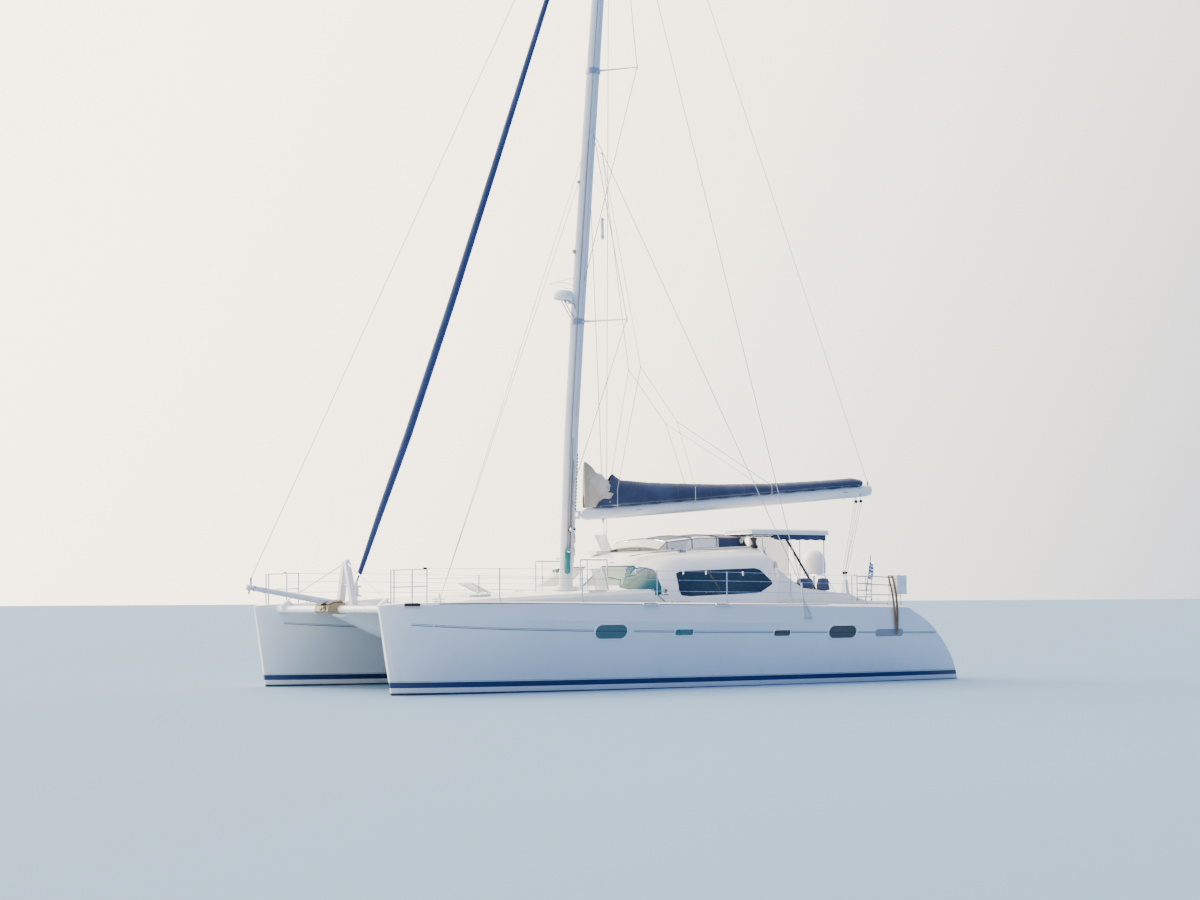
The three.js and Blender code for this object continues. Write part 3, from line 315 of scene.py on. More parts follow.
finishes.update({
    "hull": hullFinish(), "gelcoat": gelcoatFinish(), "deck": deckFinish(), "steel": steelFinish(),
    "tealGlass": glassFinish("tealGlass", (0.008, 0.085, 0.10), (0.03, 0.16, 0.19), 0.80),
    "darkGlass": glassFinish("darkGlass", (0.008, 0.018, 0.028), (0.02, 0.04, 0.055), 0.86),
    "acrylic": glassFinish("smokedAcrylic", (0.30, 0.37, 0.42), (0.45, 0.50, 0.54), 0.55, 2.0),
    "clearFilm": glassFinish("clearFilm", (0.86, 0.85, 0.80), (0.93, 0.92, 0.88), 0.42, 2.0),
    "wire": wireFinish(),
    "bronze": speckled("bronze", (0.60, 0.40, 0.20), 0.35, (0.60, 0.40, 0.20), (0.33, 0.30, 0.20), (7.0, 0.4, 0.7),
                       (50.0, 4, 0.2, 0.003), Metallic=1.0),
    "bottom": speckled("bottomPaint", (0.014, 0.022, 0.05), 0.72, (0.010, 0.018, 0.045), (0.045, 0.055, 0.055),
                       (5.0, 0.4, 0.75), (40.0, 5, 0.4, 0.004)),
    "net": speckled("netCord", (0.70, 0.70, 0.68), 0.8, (0.66, 0.66, 0.64), (0.76, 0.76, 0.74), (4.0,),
                    (120.0, 2, 0.4, 0.003)),
    "spar": paintedMetalFinish("sparPaint", (0.83, 0.84, 0.86)),
    "greyMetal": paintedMetalFinish("greyMetal", (0.40, 0.42, 0.44), 0.38),
    "blackMetal": paintedMetalFinish("blackMetal", (0.018, 0.018, 0.02), 0.32),
    "navyCloth": clothFinish("navyCloth", (0.014, 0.028, 0.085), (0.030, 0.050, 0.125)),
    "uvCloth": clothFinish("uvStripCloth", (0.012, 0.032, 0.13), (0.022, 0.05, 0.17), fold=1.0),
    "sailCloth": clothFinish("sailCloth", (0.40, 0.33, 0.24), (0.66, 0.62, 0.53), 300.0, 0.85, 5.0),
    "creamCloth": clothFinish("creamCloth", (0.74, 0.71, 0.62), (0.82, 0.80, 0.74)),
    "greyCloth": clothFinish("greyCloth", (0.42, 0.42, 0.41), (0.56, 0.56, 0.55), 300.0, 0.9, 6.0),
    "cushionCloth": clothFinish("cushionCloth", (0.035, 0.045, 0.075), (0.06, 0.07, 0.10), 340.0),
    "saloonCloth": clothFinish("saloonCloth", (0.36, 0.31, 0.25), (0.46, 0.41, 0.34), 300.0),
    "tealCloth": clothFinish("tealCloth", (0.01, 0.16, 0.17), (0.02, 0.24, 0.25), 340.0, 0.9, 9.0),
    "brownCloth": clothFinish("brownCloth", (0.22, 0.13, 0.08), (0.34, 0.22, 0.15), 340.0, 0.9, 9.0),
    "whiteRope": ropeFinish("whiteRope", (0.74, 0.73, 0.68), (0.45, 0.44, 0.40)),
    "blueRope": ropeFinish("blueFleckRope", (0.66, 0.68, 0.70), (0.10, 0.16, 0.34)),
    "taupeRope": ropeFinish("taupeRope", (0.30, 0.24, 0.21), (0.13, 0.10, 0.09), (0.36, 0.29, 0.26)),
    "darkRope": ropeFinish("darkRope", (0.06, 0.06, 0.07), (0.02, 0.02, 0.025)),
    "walkway": woodFinish("walkwayWood", (0.46, 0.33, 0.20), (0.28, 0.19, 0.11), 0.09),
    "varnish": woodFinish("varnishedWood", (0.32, 0.16, 0.07), (0.16, 0.07, 0.03), 0.0, 0.25, 0.6),
    "rubStrip": plasticFinish("rubStrip", (0.16, 0.10, 0.10), 0.55),
    "blackPlastic": plasticFinish("blackPlastic", (0.015, 0.015, 0.017), 0.45),
    "greyPlastic": plasticFinish("greyPlastic", (0.28, 0.30, 0.32), 0.5),
    "whitePlastic": plasticFinish("whitePlastic", (0.82, 0.82, 0.81), 0.38, 40.0, 0.05),
    "stripe": plasticFinish("fineStripe", (0.10, 0.11, 0.16), 0.4),
    "clearPanel": glassFinish("clearPanel", (0.80, 0.79, 0.74), (0.90, 0.89, 0.84), 0.75, 2.0),
    "navyTrim": clothFinish("navyTrim", (0.030, 0.045, 0.10), (0.05, 0.07, 0.14)),
    "liningCloth": clothFinish("liningCloth", (0.035, 0.022, 0.024), (0.06, 0.04, 0.04)),
    "flagBlue": clothFinish("flagBlue", (0.03, 0.09, 0.36), (0.05, 0.13, 0.45), 300.0, 0.85, 9.0),
    "flagWhite": clothFinish("flagWhite", (0.72, 0.73, 0.76), (0.82, 0.83, 0.85), 300.0, 0.85, 9.0),
    "brownRope": ropeFinish("brownRope", (0.30, 0.19, 0.11), (0.15, 0.09, 0.05)),
    "redLens": plasticFinish("redLens", (0.45, 0.01, 0.01), 0.12),
    "greenLens": plasticFinish("greenLens", (0.01, 0.30, 0.06), 0.12),
    "clearLens": plasticFinish("clearLens", (0.75, 0.75, 0.72), 0.1),
})
print("finishes made:", len(finishes))


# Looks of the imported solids: finish, angle above which an edge stays sharp, and nodes; a star stands for both sides

nodeLooks = {
    ("hull", 14): "hull*",
    ("gelcoat", 30): "bridgedeck helm_console mainsheet_stand",
    ("gelcoat", 38): "deckhouse",
    ("tealGlass", 50): "windscreen*",
    ("darkGlass", 40): "side_window*",
    ("deck", 30): "foredeck cockpit",
    ("spar", 30): "crossbeam",
    ("walkway", 30): "bow_walkway",
    ("spar", 35): "bowsprit bow_striker",
    ("net", 30): "trampoline*",
    ("spar", 40): "mast furler_drum",
    ("wire", 40): "spreaders_lower spreaders_upper shrouds* inner_stay",
    ("uvCloth", 50): "rolled_headsail",
    ("whiteRope", 60): "sprit_halyard lazy_jacks topping_lift",
    ("steel", 60): "rails* mast_bar* helm_roof_frame steering_wheel",
    ("creamCloth", 40): "spray_hood",
    ("gelcoat", 40): "helm_roof",
    ("cushionCloth", 30): "helm_seat",
    ("greyMetal", 30): "saloon_door",
    ("saloonCloth", 30): "saloon_settee",
    ("varnish", 30): "saloon_table",
    ("whitePlastic", 50): "satellite_dome",
    ("varnish", 60): "flag_staff",
    ("navyCloth", 60): "flag",
    ("whitePlastic", 30): "stern_case",
    ("acrylic", 30): "hatch_side hatch_fore hatch_roof",
    ("spar", 50): "boom",
    ("navyCloth", 50): "stowed_mainsail",
    ("bottom", 40): "rudder* drive_leg*",
    ("bronze", 40): "propeller*",
}


def dressNode(name, finish, sharpAngle):
    node = nodes[name]
    node.data.materials.clear()
    node.data.materials.append(finishes[finish])
    node.data.polygons.foreach_set("use_smooth", [True] * len(node.data.polygons))
    weld = node.modifiers.new("weld", "WELD")
    weld.merge_threshold = 0.00005
    edges = node.modifiers.new("edges", "EDGE_SPLIT")
    edges.split_angle = math.radians(sharpAngle)
    edges.use_edge_sharp = False


def sideWord(side):
    return "port" if side > 0 else "starboard"


dressed = 0
for (finishName, angle), stems in nodeLooks.items():
    for stem in stems.split():
        pair = [stem.replace("*", "_" + sideWord(side)) for side in (1, -1)] if "*" in stem else [stem]
        for nodeName in pair:
            dressNode(nodeName, finishName, angle)
            dressed += 1
print("solids dressed:", dressed)


# Floor at the waterline, soft sky and one wide low sun behind the boat

lightSettings = {
    "floorHalf": 2500.0, "floorColor": (0.16, 0.28, 0.46),
    "sunFrom": (0.42, -0.80, 0.43), "sunPower": 3.2, "sunColor": (1.0, 0.94, 0.84), "sunWide": 14.0,
    "skyShade": (0.10, 0.26, 0.78), "skyMiddle": (0.48, 0.74, 1.25), "skyBright": (6.0, 5.2, 3.8), "skyPower": 1.0,
}


def makeStage(s):
    mesh = bpy.data.meshes.new("floor")
    half = s["floorHalf"]
    mesh.from_pydata([(-half, -half, 0), (half, -half, 0), (half, half, 0), (-half, half, 0)], [], [(0, 1, 2, 3)])
    floor = bpy.data.objects.new("floor", mesh)
    scene.collection.objects.link(floor)
    material, tree, bsdf = newMaterial("floorPaint", s["floorColor"], 0.92)
    patchy(tree, bsdf, s["floorColor"], tuple(c * 1.03 for c in s["floorColor"]), 0.05)
    mesh.materials.append(material)
    lamp = bpy.data.lights.new("sun", "SUN")
    lamp.energy = s["sunPower"]
    lamp.color = s["sunColor"]
    lamp.angle = math.radians(s["sunWide"])
    sun = bpy.data.objects.new("sun", lamp)
    sun.rotation_mode = "QUATERNION"
    sun.rotation_quaternion = Vector(s["sunFrom"]).to_track_quat("Z", "Y")
    scene.collection.objects.link(sun)
    world = bpy.data.worlds.new("sky")
    world.use_nodes = True
    scene.world = world
    tree = world.node_tree
    back = tree.nodes["Background"]
    direction = put(tree, "ShaderNodeTexCoord").outputs["Generated"]
    toward = Vector(s["sunFrom"]).normalized()
    glow = put(tree, "ShaderNodeVectorMath", {0: direction, 1: tuple(toward)}, operation="DOT_PRODUCT").outputs["Value"]
    low = mixColor(tree, ramp(tree, glow, -1.0, 0.15), s["skyShade"], s["skyMiddle"])
    full = mixColor(tree, ramp(tree, glow, 0.0, 0.75), low, s["skyBright"])
    tree.links.new(full, back.inputs["Color"])
    back.inputs["Strength"].default_value = s["skyPower"]


makeStage(lightSettings)
print("stage set")


# Shapes: a Piece gathers shells in one mesh, with a finish for each

def upBy(z):
    return Vector((0, 0, z))


def angles(count):
    return [2 * math.pi * k / count for k in range(count)]


def curve(points, steps=6):
    spots = [Vector(p) for p in points]
    last = len(spots) - 1
    made = []
    for i in range(last):
        a, b, c, d = spots[max(i - 1, 0)], spots[i], spots[i + 1], spots[min(i + 2, last)]
        for k in range(steps):
            t = k / steps
            made.append(0.5 * (2 * b + (c - a) * t + (2 * a - 5 * b + 4 * c - d) * t * t + (3 * b - a - 3 * c + d)
                               * t ** 3))
    return made + [spots[-1]]


# Rope texture: width of one band in the wave, strands, length of a turn in diameters
ropeLay = (0.6283, 3, 3.5)


class Piece:
    def __init__(self, name, finish):
        self.name = name
        self.mesh = bmesh.new()
        self.uv = self.mesh.loops.layers.uv.new("lay")
        self.finishNames = []
        self.paint(finish)

    def paint(self, finish):
        if finish not in self.finishNames:
            self.finishNames.append(finish)
        self.finishIndex = self.finishNames.index(finish)
        return self

    def face(self, corners, uvs=None):
        made = self.mesh.faces.new(corners)
        made.material_index = self.finishIndex
        made.smooth = True
        if uvs:
            for loop, spot in zip(made.loops, uvs):
                loop[self.uv].uv = spot
        return made

    def loft(self, rings, caps=True, closed=True, loop=False, uvScale=None):
        rows = [[self.mesh.verts.new(p) for p in ring] for ring in rings]
        count = len(rows[0])
        last = len(rows) if loop else len(rows) - 1
        for i in range(last):
            low, high = rows[i], rows[(i + 1) % len(rows)]
            for k in range(count if closed else count - 1):
                j = (k + 1) % count
                uvs = None
                if uvScale:
                    around, along = uvScale
                    uvs = [(k * around, along[i]), ((k + 1) * around, along[i]), ((k + 1) * around, along[i + 1]),
                           (k * around, along[i + 1])]
                self.face((low[k], low[j], high[j], high[k]), uvs)
        if caps and closed and not loop:
            self.face(list(reversed(rows[0])))
            self.face(rows[-1])
        return self

    def tube(self, points, radius, sides=8, loop=False, flat=1.0, caps=True):
        spots = [Vector(p) for p in points]
        count = len(spots)
        radii = radius if isinstance(radius, (list, tuple)) else [radius] * count
        rings = []
        across = None
        walked = [0.0]
        for i, spot in enumerate(spots):
            before = spots[i - 1] if i > 0 or loop else spot
            after = spots[(i + 1) % count] if i < count - 1 or loop else spot
            ahead = (after - before).normalized()
            if across is None:
                guide = Vector((0, 0, 1)) if abs(ahead.z) < 0.9 else Vector((1, 0, 0))
                across = ahead.cross(guide).normalized()
            across = (across - ahead * across.dot(ahead)).normalized()
            up = ahead.cross(across)
            rings.append([spot + radii[i] * (math.cos(t) * across + flat * math.sin(t) * up)
                          for t in angles(sides)])
            walked.append(walked[-1] + (spots[(i + 1) % count] - spot).length)
        band, strands, layLength = ropeLay
        pitch = layLength * 2 * max(radii) / (strands * band)
        along = [length / pitch for length in walked]
        return self.loft(rings, caps=caps, loop=loop, uvScale=(strands * band / sides, along))

    def rod(self, a, b, radius, sides=12, end=None):
        return self.tube([a, b], [radius, radius if end is None else end], sides)

    def turned(self, rows, foot=(0, 0, 0), axis=(0, 0, 1), sides=24):
        ahead = Vector(axis).normalized()
        guide = Vector((1, 0, 0)) if abs(ahead.x) < 0.9 else Vector((0, 1, 0))
        across = ahead.cross(guide).normalized()
        up = ahead.cross(across)
        rings = [[Vector(foot) + ahead * z + max(r, 0.0004) * (math.cos(t) * across + math.sin(t) * up)
                  for t in angles(sides)] for r, z in rows]
        return self.loft(rings)

    def block(self, middle, size, turn=None, edge=0.004, steps=2):
        made = bmesh.ops.create_cube(self.mesh, size=1.0)["verts"]
        place = Matrix.Translation(middle) @ (turn.to_4x4() if turn else Matrix())
        place = place @ Matrix.Diagonal((*size, 1))
        bmesh.ops.transform(self.mesh, matrix=place, verts=made)
        faces = list(dict.fromkeys(face for vert in made for face in vert.link_faces))
        if edge:
            edges = list(dict.fromkeys(e for face in faces for e in face.edges))
            grown = bmesh.ops.bevel(self.mesh, geom=edges, offset=edge, segments=steps, affect="EDGES",
                                    profile=0.5)["faces"]
            faces = [face for face in faces if face.is_valid] + list(grown)
        for face in faces:
            face.material_index = self.finishIndex
            face.smooth = True
        return self

    def finished(self, body="boat", sharp=35, thick=0.0, smoothSteps=0):
        self.mesh.normal_update()
        if not thick:
            bmesh.ops.recalc_face_normals(self.mesh, faces=self.mesh.faces)
        for edge in self.mesh.edges:
            if len(edge.link_faces) == 2 and edge.calc_face_angle(0) > math.radians(sharp):
                edge.smooth = False
        data = bpy.data.meshes.new(self.name)
        self.mesh.to_mesh(data)
        self.mesh.free()
        made = bpy.data.objects.new(self.name, data)
        scene.collection.objects.link(made)
        for finish in self.finishNames:
            data.materials.append(finishes[finish])
        if thick:
            shell = made.modifiers.new("thickness", "SOLIDIFY")
            shell.thickness = thick
            shell.offset = 0
        if smoothSteps:
            rounder = made.modifiers.new("rounder", "SUBSURF")
            rounder.levels = rounder.render_levels = smoothSteps
        if thick or smoothSteps:
            bake(made)
        if body:
            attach(made, body)
        return made


def bake(made):
    graph = bpy.context.evaluated_depsgraph_get()
    graph.update()
    fixed = bpy.data.meshes.new_from_object(made.evaluated_get(graph), depsgraph=graph)
    made.modifiers.clear()
    made.data = fixed
    return made


def facing(normal, upward=(0, 0, 1)):
    z = Vector(normal).normalized()
    x = Vector(upward).cross(z)
    if x.length < 0.001:
        x = Vector((1, 0, 0))
    x.normalize()
    return Matrix((x, z.cross(x), z)).transposed()


def placed(spot, normal=(0, 0, 1), upward=(0, 1, 0)):
    return Matrix.Translation(spot) @ facing(normal, upward).to_4x4()


# Surfaces of the solids, asked for by rays

trees = {}
rayReach = 60


def surface(name):
    if name not in trees:
        data = nodes[name].data
        trees[name] = BVHTree.FromPolygons([v.co.copy() for v in data.vertices],
                                           [list(p.vertices) for p in data.polygons])
    return trees[name]


def castOn(names, start, ahead):
    best = None
    for name in names:
        spot, normal, _, far = surface(name).ray_cast(Vector(start), Vector(ahead).normalized(), rayReach)
        if spot is not None and (best is None or far < best[2]):
            best = (spot, normal if normal.dot(Vector(ahead)) < 0 else -normal, far)
    return best


deckNodes = ("hull_port", "hull_starboard", "foredeck", "deckhouse", "cockpit", "bridgedeck", "bow_walkway",
             "crossbeam")


def deckAt(x, y, lift=0.0, names=deckNodes, start=8.0):
    hit = castOn(names, (x, y, start), (0, 0, -1))
    return hit[0] + upBy(lift) if hit else Vector((x, y, 0))


def skinAt(x, z, side=1, outer=True, lift=0.0):
    start = (x, side * (9.0 if outer else 0.0), z)
    hit = castOn(("hull_" + sideWord(side),), start, (0, -side if outer else side, 0))
    return (hit[0] + hit[1] * lift, hit[1]) if hit else (None, None)


# Hull sides: fine stripes, rub strips, small windows

def sheerZ(x):
    hit = castOn(("hull_port",), (x, 3.3 if x < 6 else 3.05, 8), (0, 0, -1))
    return hit[0].z if hit else 1.8


stripeSettings = {
    "points": [(6.915, 1.414), (6.154, 1.366), (5.091, 1.315), (3.733, 1.271), (2.941, 1.249), (0.231, 1.194),
               (-2.509, 1.155), (-5.477, 1.11), (-6.619, 1.095)],
    "lines": [(0.022, 0.009), (-0.006, 0.016)], "proud": 0.0012,
}


def bandOnHull(piece, points, high, side, outer, proud):
    rows = []
    for x, z in points:
        low, normal = skinAt(x, z - high / 2, side, outer, proud)
        top, _ = skinAt(x, z + high / 2, side, outer, proud)
        if low and top:
            rows.append([low, top, top - normal * proud, low - normal * proud])
    piece.loft(rows)


def makeStripes(s):
    for side in (1, -1):
        piece = Piece("fine_stripes_" + sideWord(side), "stripe")
        route = [(p.x, p.z) for p in curve([(x, 0, z) for x, z in s["points"]], 9)]
        for outer in (True, False):
            for offset, high in s["lines"]:
                bandOnHull(piece, [(x, z + offset) for x, z in route], high, side, outer, s["proud"])
        piece.finished()


makeStripes(stripeSettings)

rubSettings = {
    "rows": [(6.36, 1.862, 0.042), (4.9, 1.858, 0.044), (2.5, 1.853, 0.046), (0.6, 1.850, 0.046), (-0.98, 1.846, 0.042),
             (-2.2, 1.824, 0.036), (-3.38, 1.796, 0.022)],
    "proud": 0.026,
}


def makeRubStrips(s):
    for side in (1, -1):
        piece = Piece("rub_strip_" + sideWord(side), "rubStrip")
        rings = []
        for p in curve(s["rows"], 12):
            x, z, high = p
            z = min(z, sheerZ(x) - 0.62 * high)
            middle, normal = skinAt(x, z, side)
            low, _ = skinAt(x, z - high / 2, side)
            top, _ = skinAt(x, z + high / 2, side)
            if not (middle and low and top):
                continue
            out = Vector((normal.x, normal.y, 0)).normalized() * s["proud"]
            rings.append([low - out * 0.15, low + out * 0.55, middle * 0.45 + low * 0.55 + out,
                          middle * 0.45 + top * 0.55 + out, top + out * 0.55, top - out * 0.15])
        piece.loft(rings)
        piece.finished()


makeRubStrips(rubSettings)

# Small windows in the hull: middle x and z, length, height, corner share, pane
portlights = [
    (2.49, 1.228, 0.86, 0.335, 1.0, "tealGlass"), (0.64, 1.195, 0.52, 0.15, 0.7, "tealGlass"),
    (-2.01, 1.145, 0.50, 0.15, 0.7, "darkGlass"), (-3.745, 1.150, 0.89, 0.32, 1.0, "darkGlass"),
]


def roundOutline(long, high, corner, steps=7):
    radius = corner * high / 2
    spots = []
    for cx, cz, start in ((1, 1, 0), (-1, 1, 90), (-1, -1, 180), (1, -1, 270)):
        for k in range(steps + 1):
            t = math.radians(start + 90 * k / steps)
            spots.append((cx * (long / 2 - radius) + radius * math.cos(t),
                          cz * (high / 2 - radius) + radius * math.sin(t)))
    return spots


def onHull(x, z, u, v, side, lift):
    return skinAt(x + u, z + v, side, True, lift)[0]


def makePortlights(side):
    piece = Piece("portlights_" + sideWord(side), "whitePlastic")
    for x, z, long, high, corner, pane in portlights:
        outline = roundOutline(long, high, corner)
        rings = []
        for scale, lift in ((1.0, 0.0), (1.0, 0.011), (0.975, 0.017), (0.93, 0.017), (0.90, 0.010), (0.90, 0.004)):
            grow = (long * (scale - 1), high * (scale - 1) * long / high * 0.5)
            rings.append([onHull(x, z, u * (1 + grow[0] / long), v * (1 + grow[1] / high), side, lift)
                          for u, v in outline])
        piece.paint("whitePlastic").loft(rings, caps=False)
        piece.paint(pane)
        inner = [onHull(x, z, u * 0.905, v * (1 - 0.095 * long / high * 0.5), side, 0.007) for u, v in outline]
        hub = piece.mesh.verts.new(onHull(x, z, 0, 0, side, 0.009))
        rim = [piece.mesh.verts.new(p) for p in inner]
        for k, vert in enumerate(rim):
            piece.face((hub, vert, rim[(k + 1) % len(rim)]))
        piece.paint("steel")
        for u in (-0.3 * long, 0.3 * long):
            spot, normal = skinAt(x + u, z + high / 2 + 0.004, side, True, 0.014)
            piece.block(spot, (0.05, 0.014, 0.022), facing(normal), 0.003)
    piece.finished(sharp=30)


for side in (1, -1):
    makePortlights(side)
print("hull sides done")


# Fairleads let into the hulls just below the sheer

# middle x and length
fairleads = ((6.9, 0.36), (1.5, 0.42), (-0.4, 0.42), (-5.75, 0.36))


def placedOn(spot, normal, u, v, lift):
    return placed(spot, normal, (0, 0, 1)) @ Vector((u, v, lift))


def makeFairleads(side):
    piece = Piece("fairleads_" + sideWord(side), "steel")
    for x, long in fairleads:
        if not skinAt(x, 1.80, side)[0]:
            continue
        z = sheerZ(x) - 0.055
        spot, normal = skinAt(x, z, side)
        outline = roundOutline(long, 0.095, 1.0)
        rings = []
        for scale, lift in ((1.0, -0.004), (1.0, 0.018), (0.93, 0.028), (0.82, 0.026), (0.76, 0.012), (0.76, -0.004)):
            rings.append([placedOn(spot, normal, u * (1 - (1 - scale) * 0.3), v * (1 - (1 - scale) * 1.4), lift)
                          for u, v in outline])
        piece.paint("steel").loft(rings, caps=False)
        # Black sheet set just inside the frame: painted shade standing in for the dark hollow of the fairlead's
        # opening.
        piece.paint("blackPlastic").loft([[placedOn(spot, normal, u * 0.92, v * 0.62, 0.003) for u, v in outline],
                                          [placedOn(spot, normal, u * 0.90, v * 0.58, 0.006) for u, v in outline]])
    piece.finished(sharp=40)


for side in (1, -1):
    makeFairleads(side)


# Mast: guard hoop, reflector, halyards, winches, lights, masthead, sail track

# z and x of the mast's middle
mastRows = ((2.128, 1.140), (4.2, 1.052), (5.8, 0.975), (8.5, 0.785), (11.2, 0.572), (14.0, 0.345), (16.5, 0.140),
            (19.0, -0.066), (22.15, -0.326))


def mastAxis(z):
    for (z0, x0), (z1, x1) in zip(mastRows, mastRows[1:]):
        if z <= z1:
            return x0 + (x1 - x0) * (z - z0) / (z1 - z0)
    return mastRows[-1][1]


def onMast(z, angle, lift=0.0):
    a, b = math.radians(angle), mastAxis(z)
    hit = castOn(("mast",), (b + 3 * math.cos(a), 3 * math.sin(a), z), (-math.cos(a), -math.sin(a), 0))
    return hit[0] + hit[1] * lift, hit[1]


guardSettings = {
    "hoop": [(0.95, -0.16, 9.10), (1.20, -0.24, 9.16), (1.42, -0.16, 9.17), (1.47, 0.0, 9.17), (1.42, 0.16, 9.17),
             (1.20, 0.24, 9.16), (0.95, 0.16, 9.10)],
    "footZ": 9.10, "footAngle": 35, "strutZ": 9.34, "sunk": -0.01, "plate": (1.02, 0, 8.785),
    "cable": [(1.17, 0.05, 8.80), (1.10, 0.07, 8.72), (0.93, 0.08, 8.72), (0.90, 0.08, 8.6)],
}


def makeGuard(s):
    piece = Piece("radar_guard", "steel")
    foot, other = (onMast(s["footZ"], angle, s["sunk"])[0] for angle in (s["footAngle"], -s["footAngle"]))
    piece.tube([other] + curve(s["hoop"], 6) + [foot], 0.0075, 8)
    piece.tube([s["hoop"][3], onMast(s["strutZ"], 0, s["sunk"])[0]], 0.0065, 8)
    piece.paint("greyMetal").block(s["plate"], (0.22, 0.11, 0.014), None, 0.003)
    piece.paint("blackPlastic").tube(curve(s["cable"], 5), 0.007, 6)
    piece.finished(sharp=40)


makeGuard(guardSettings)

reflectorSettings = {
    "foot": (0.275, 0.30, 10.24), "axis": (0.02, 0, 1), "bands": (10.30, 10.70),
    "tube": [(0.0, 0.0), (0.022, 0.004), (0.034, 0.03), (0.036, 0.08), (0.036, 0.44), (0.034, 0.49), (0.022, 0.52),
             (0.0, 0.524)],
}


def makeReflector(s):
    piece = Piece("radar_reflector", "whitePlastic")
    piece.turned(s["tube"], s["foot"], s["axis"], 18)
    piece.paint("greyPlastic")
    for z in s["bands"]:
        piece.turned([(0.0365, 0), (0.040, 0.004), (0.040, 0.020), (0.0365, 0.024)], (0.276, 0.30, z), s["axis"], 18)
    piece.finished()


makeReflector(reflectorSettings)

mastLines = [
    # colour, angle on the mast, radius, lowest and highest z, stand-off
    ("whiteRope", 118, 0.0065, 3.55, 16.4, 0.012), ("taupeRope", 62, 0.0065, 2.95, 20.2, 0.011),
    ("whiteRope", 48, 0.006, 2.9, 12.6, 0.010), ("blueRope", -118, 0.0065, 3.5, 18.5, 0.012),
    ("darkRope", -55, 0.006, 2.95, 16.0, 0.010), ("brownRope", 84, 0.007, 2.62, 5.6, 0.014),
    ("brownRope", 100, 0.007, 2.62, 5.1, 0.014),
]


def makeMastLines():
    for i, (finish, angle, radius, low, high, out) in enumerate(mastLines):
        piece = Piece(f"mast_line_{i + 1}", finish)
        piece.tube([onMast(low + (high - low) * k / 15, angle, out)[0] for k in range(16)], radius, 6)
        piece.finished()


makeMastLines()


def winch(piece, spot, axis, size, drum="steel", base="blackPlastic"):
    foot = [(0.055, -0.01 / size), (0.062, 0.0), (0.060, 0.022), (0.045, 0.03)]
    barrel = [(0.045, 0.028), (0.048, 0.034), (0.036, 0.05), (0.032, 0.075), (0.036, 0.10), (0.050, 0.118),
              (0.050, 0.128),
              (0.036, 0.136), (0.0, 0.138)]
    socket = [(0.014, 0.136), (0.014, 0.142), (0.0, 0.143)]
    for finish, rows, sides in ((base, foot, 24), (drum, barrel, 24), ("blackPlastic", socket, 16)):
        piece.paint(finish).turned([(r * size, z * size) for r, z in rows], spot, axis, sides)


mastSettings = {
    # z on the mast, angle from straight ahead, size
    "winches": ((3.50, 90, 1.15), (3.02, 60, 1.0), (3.34, -92, 1.15), (2.86, -60, 1.0)),
    "eyes": ((4.62, 62), (4.10, 118), (4.3, -118), (3.95, -60), (2.78, 84), (2.74, 100), (2.7, -100)),
    "hooks": (3.0, 3.3), "hookAngle": 150, "lampZ": 9.95, "floodlightZ": 11.6,
}


def makeMastFittings(s):
    piece = Piece("mast_fittings", "greyMetal")
    for z, angle, size in s["winches"]:
        spot, normal = onMast(z, angle, -0.004)
        piece.paint("greyMetal").block(spot + normal * 0.012, (0.12, 0.12, 0.03), facing(normal), 0.008)
        winch(piece, spot + normal * 0.026, normal, size)
    for z, angle in s["eyes"]:
        spot, normal = onMast(z, angle, 0.004)
        piece.paint("steel").block(spot, (0.022, 0.16, 0.012), facing(normal), 0.004)
        piece.block(spot + normal * 0.018, (0.018, 0.06, 0.026), facing(normal), 0.006)
    for z in s["hooks"]:
        spot, normal = onMast(z, s["hookAngle"], 0.004)
        route = [spot + upBy(-0.09), spot + normal * 0.03 + upBy(-0.07), spot + normal * 0.03 + upBy(0.07),
                 spot + upBy(0.09)]
        piece.paint("blackMetal").tube(curve(route, 5), 0.008, 8)
    spot, normal = onMast(s["lampZ"], 0, 0.0)
    piece.paint("greyMetal").block(spot + normal * 0.03, (0.06, 0.09, 0.07), facing(normal), 0.010)
    piece.paint("clearLens").block(spot + normal * 0.07, (0.05, 0.07, 0.03), facing(normal), 0.012)
    spot, normal = onMast(s["floodlightZ"], 0, 0.0)
    piece.paint("blackMetal").block(spot + normal * 0.025, (0.08, 0.05, 0.05), facing(normal), 0.010)
    piece.finished(sharp=40)


makeMastFittings(mastSettings)

mastheadSettings = {"lamp": (-0.15, 0.06, 22.15), "aerial": (-0.25, -0.03, 22.15), "aerialTop": 22.80,
                    "vane": (0.40, 0.02)}


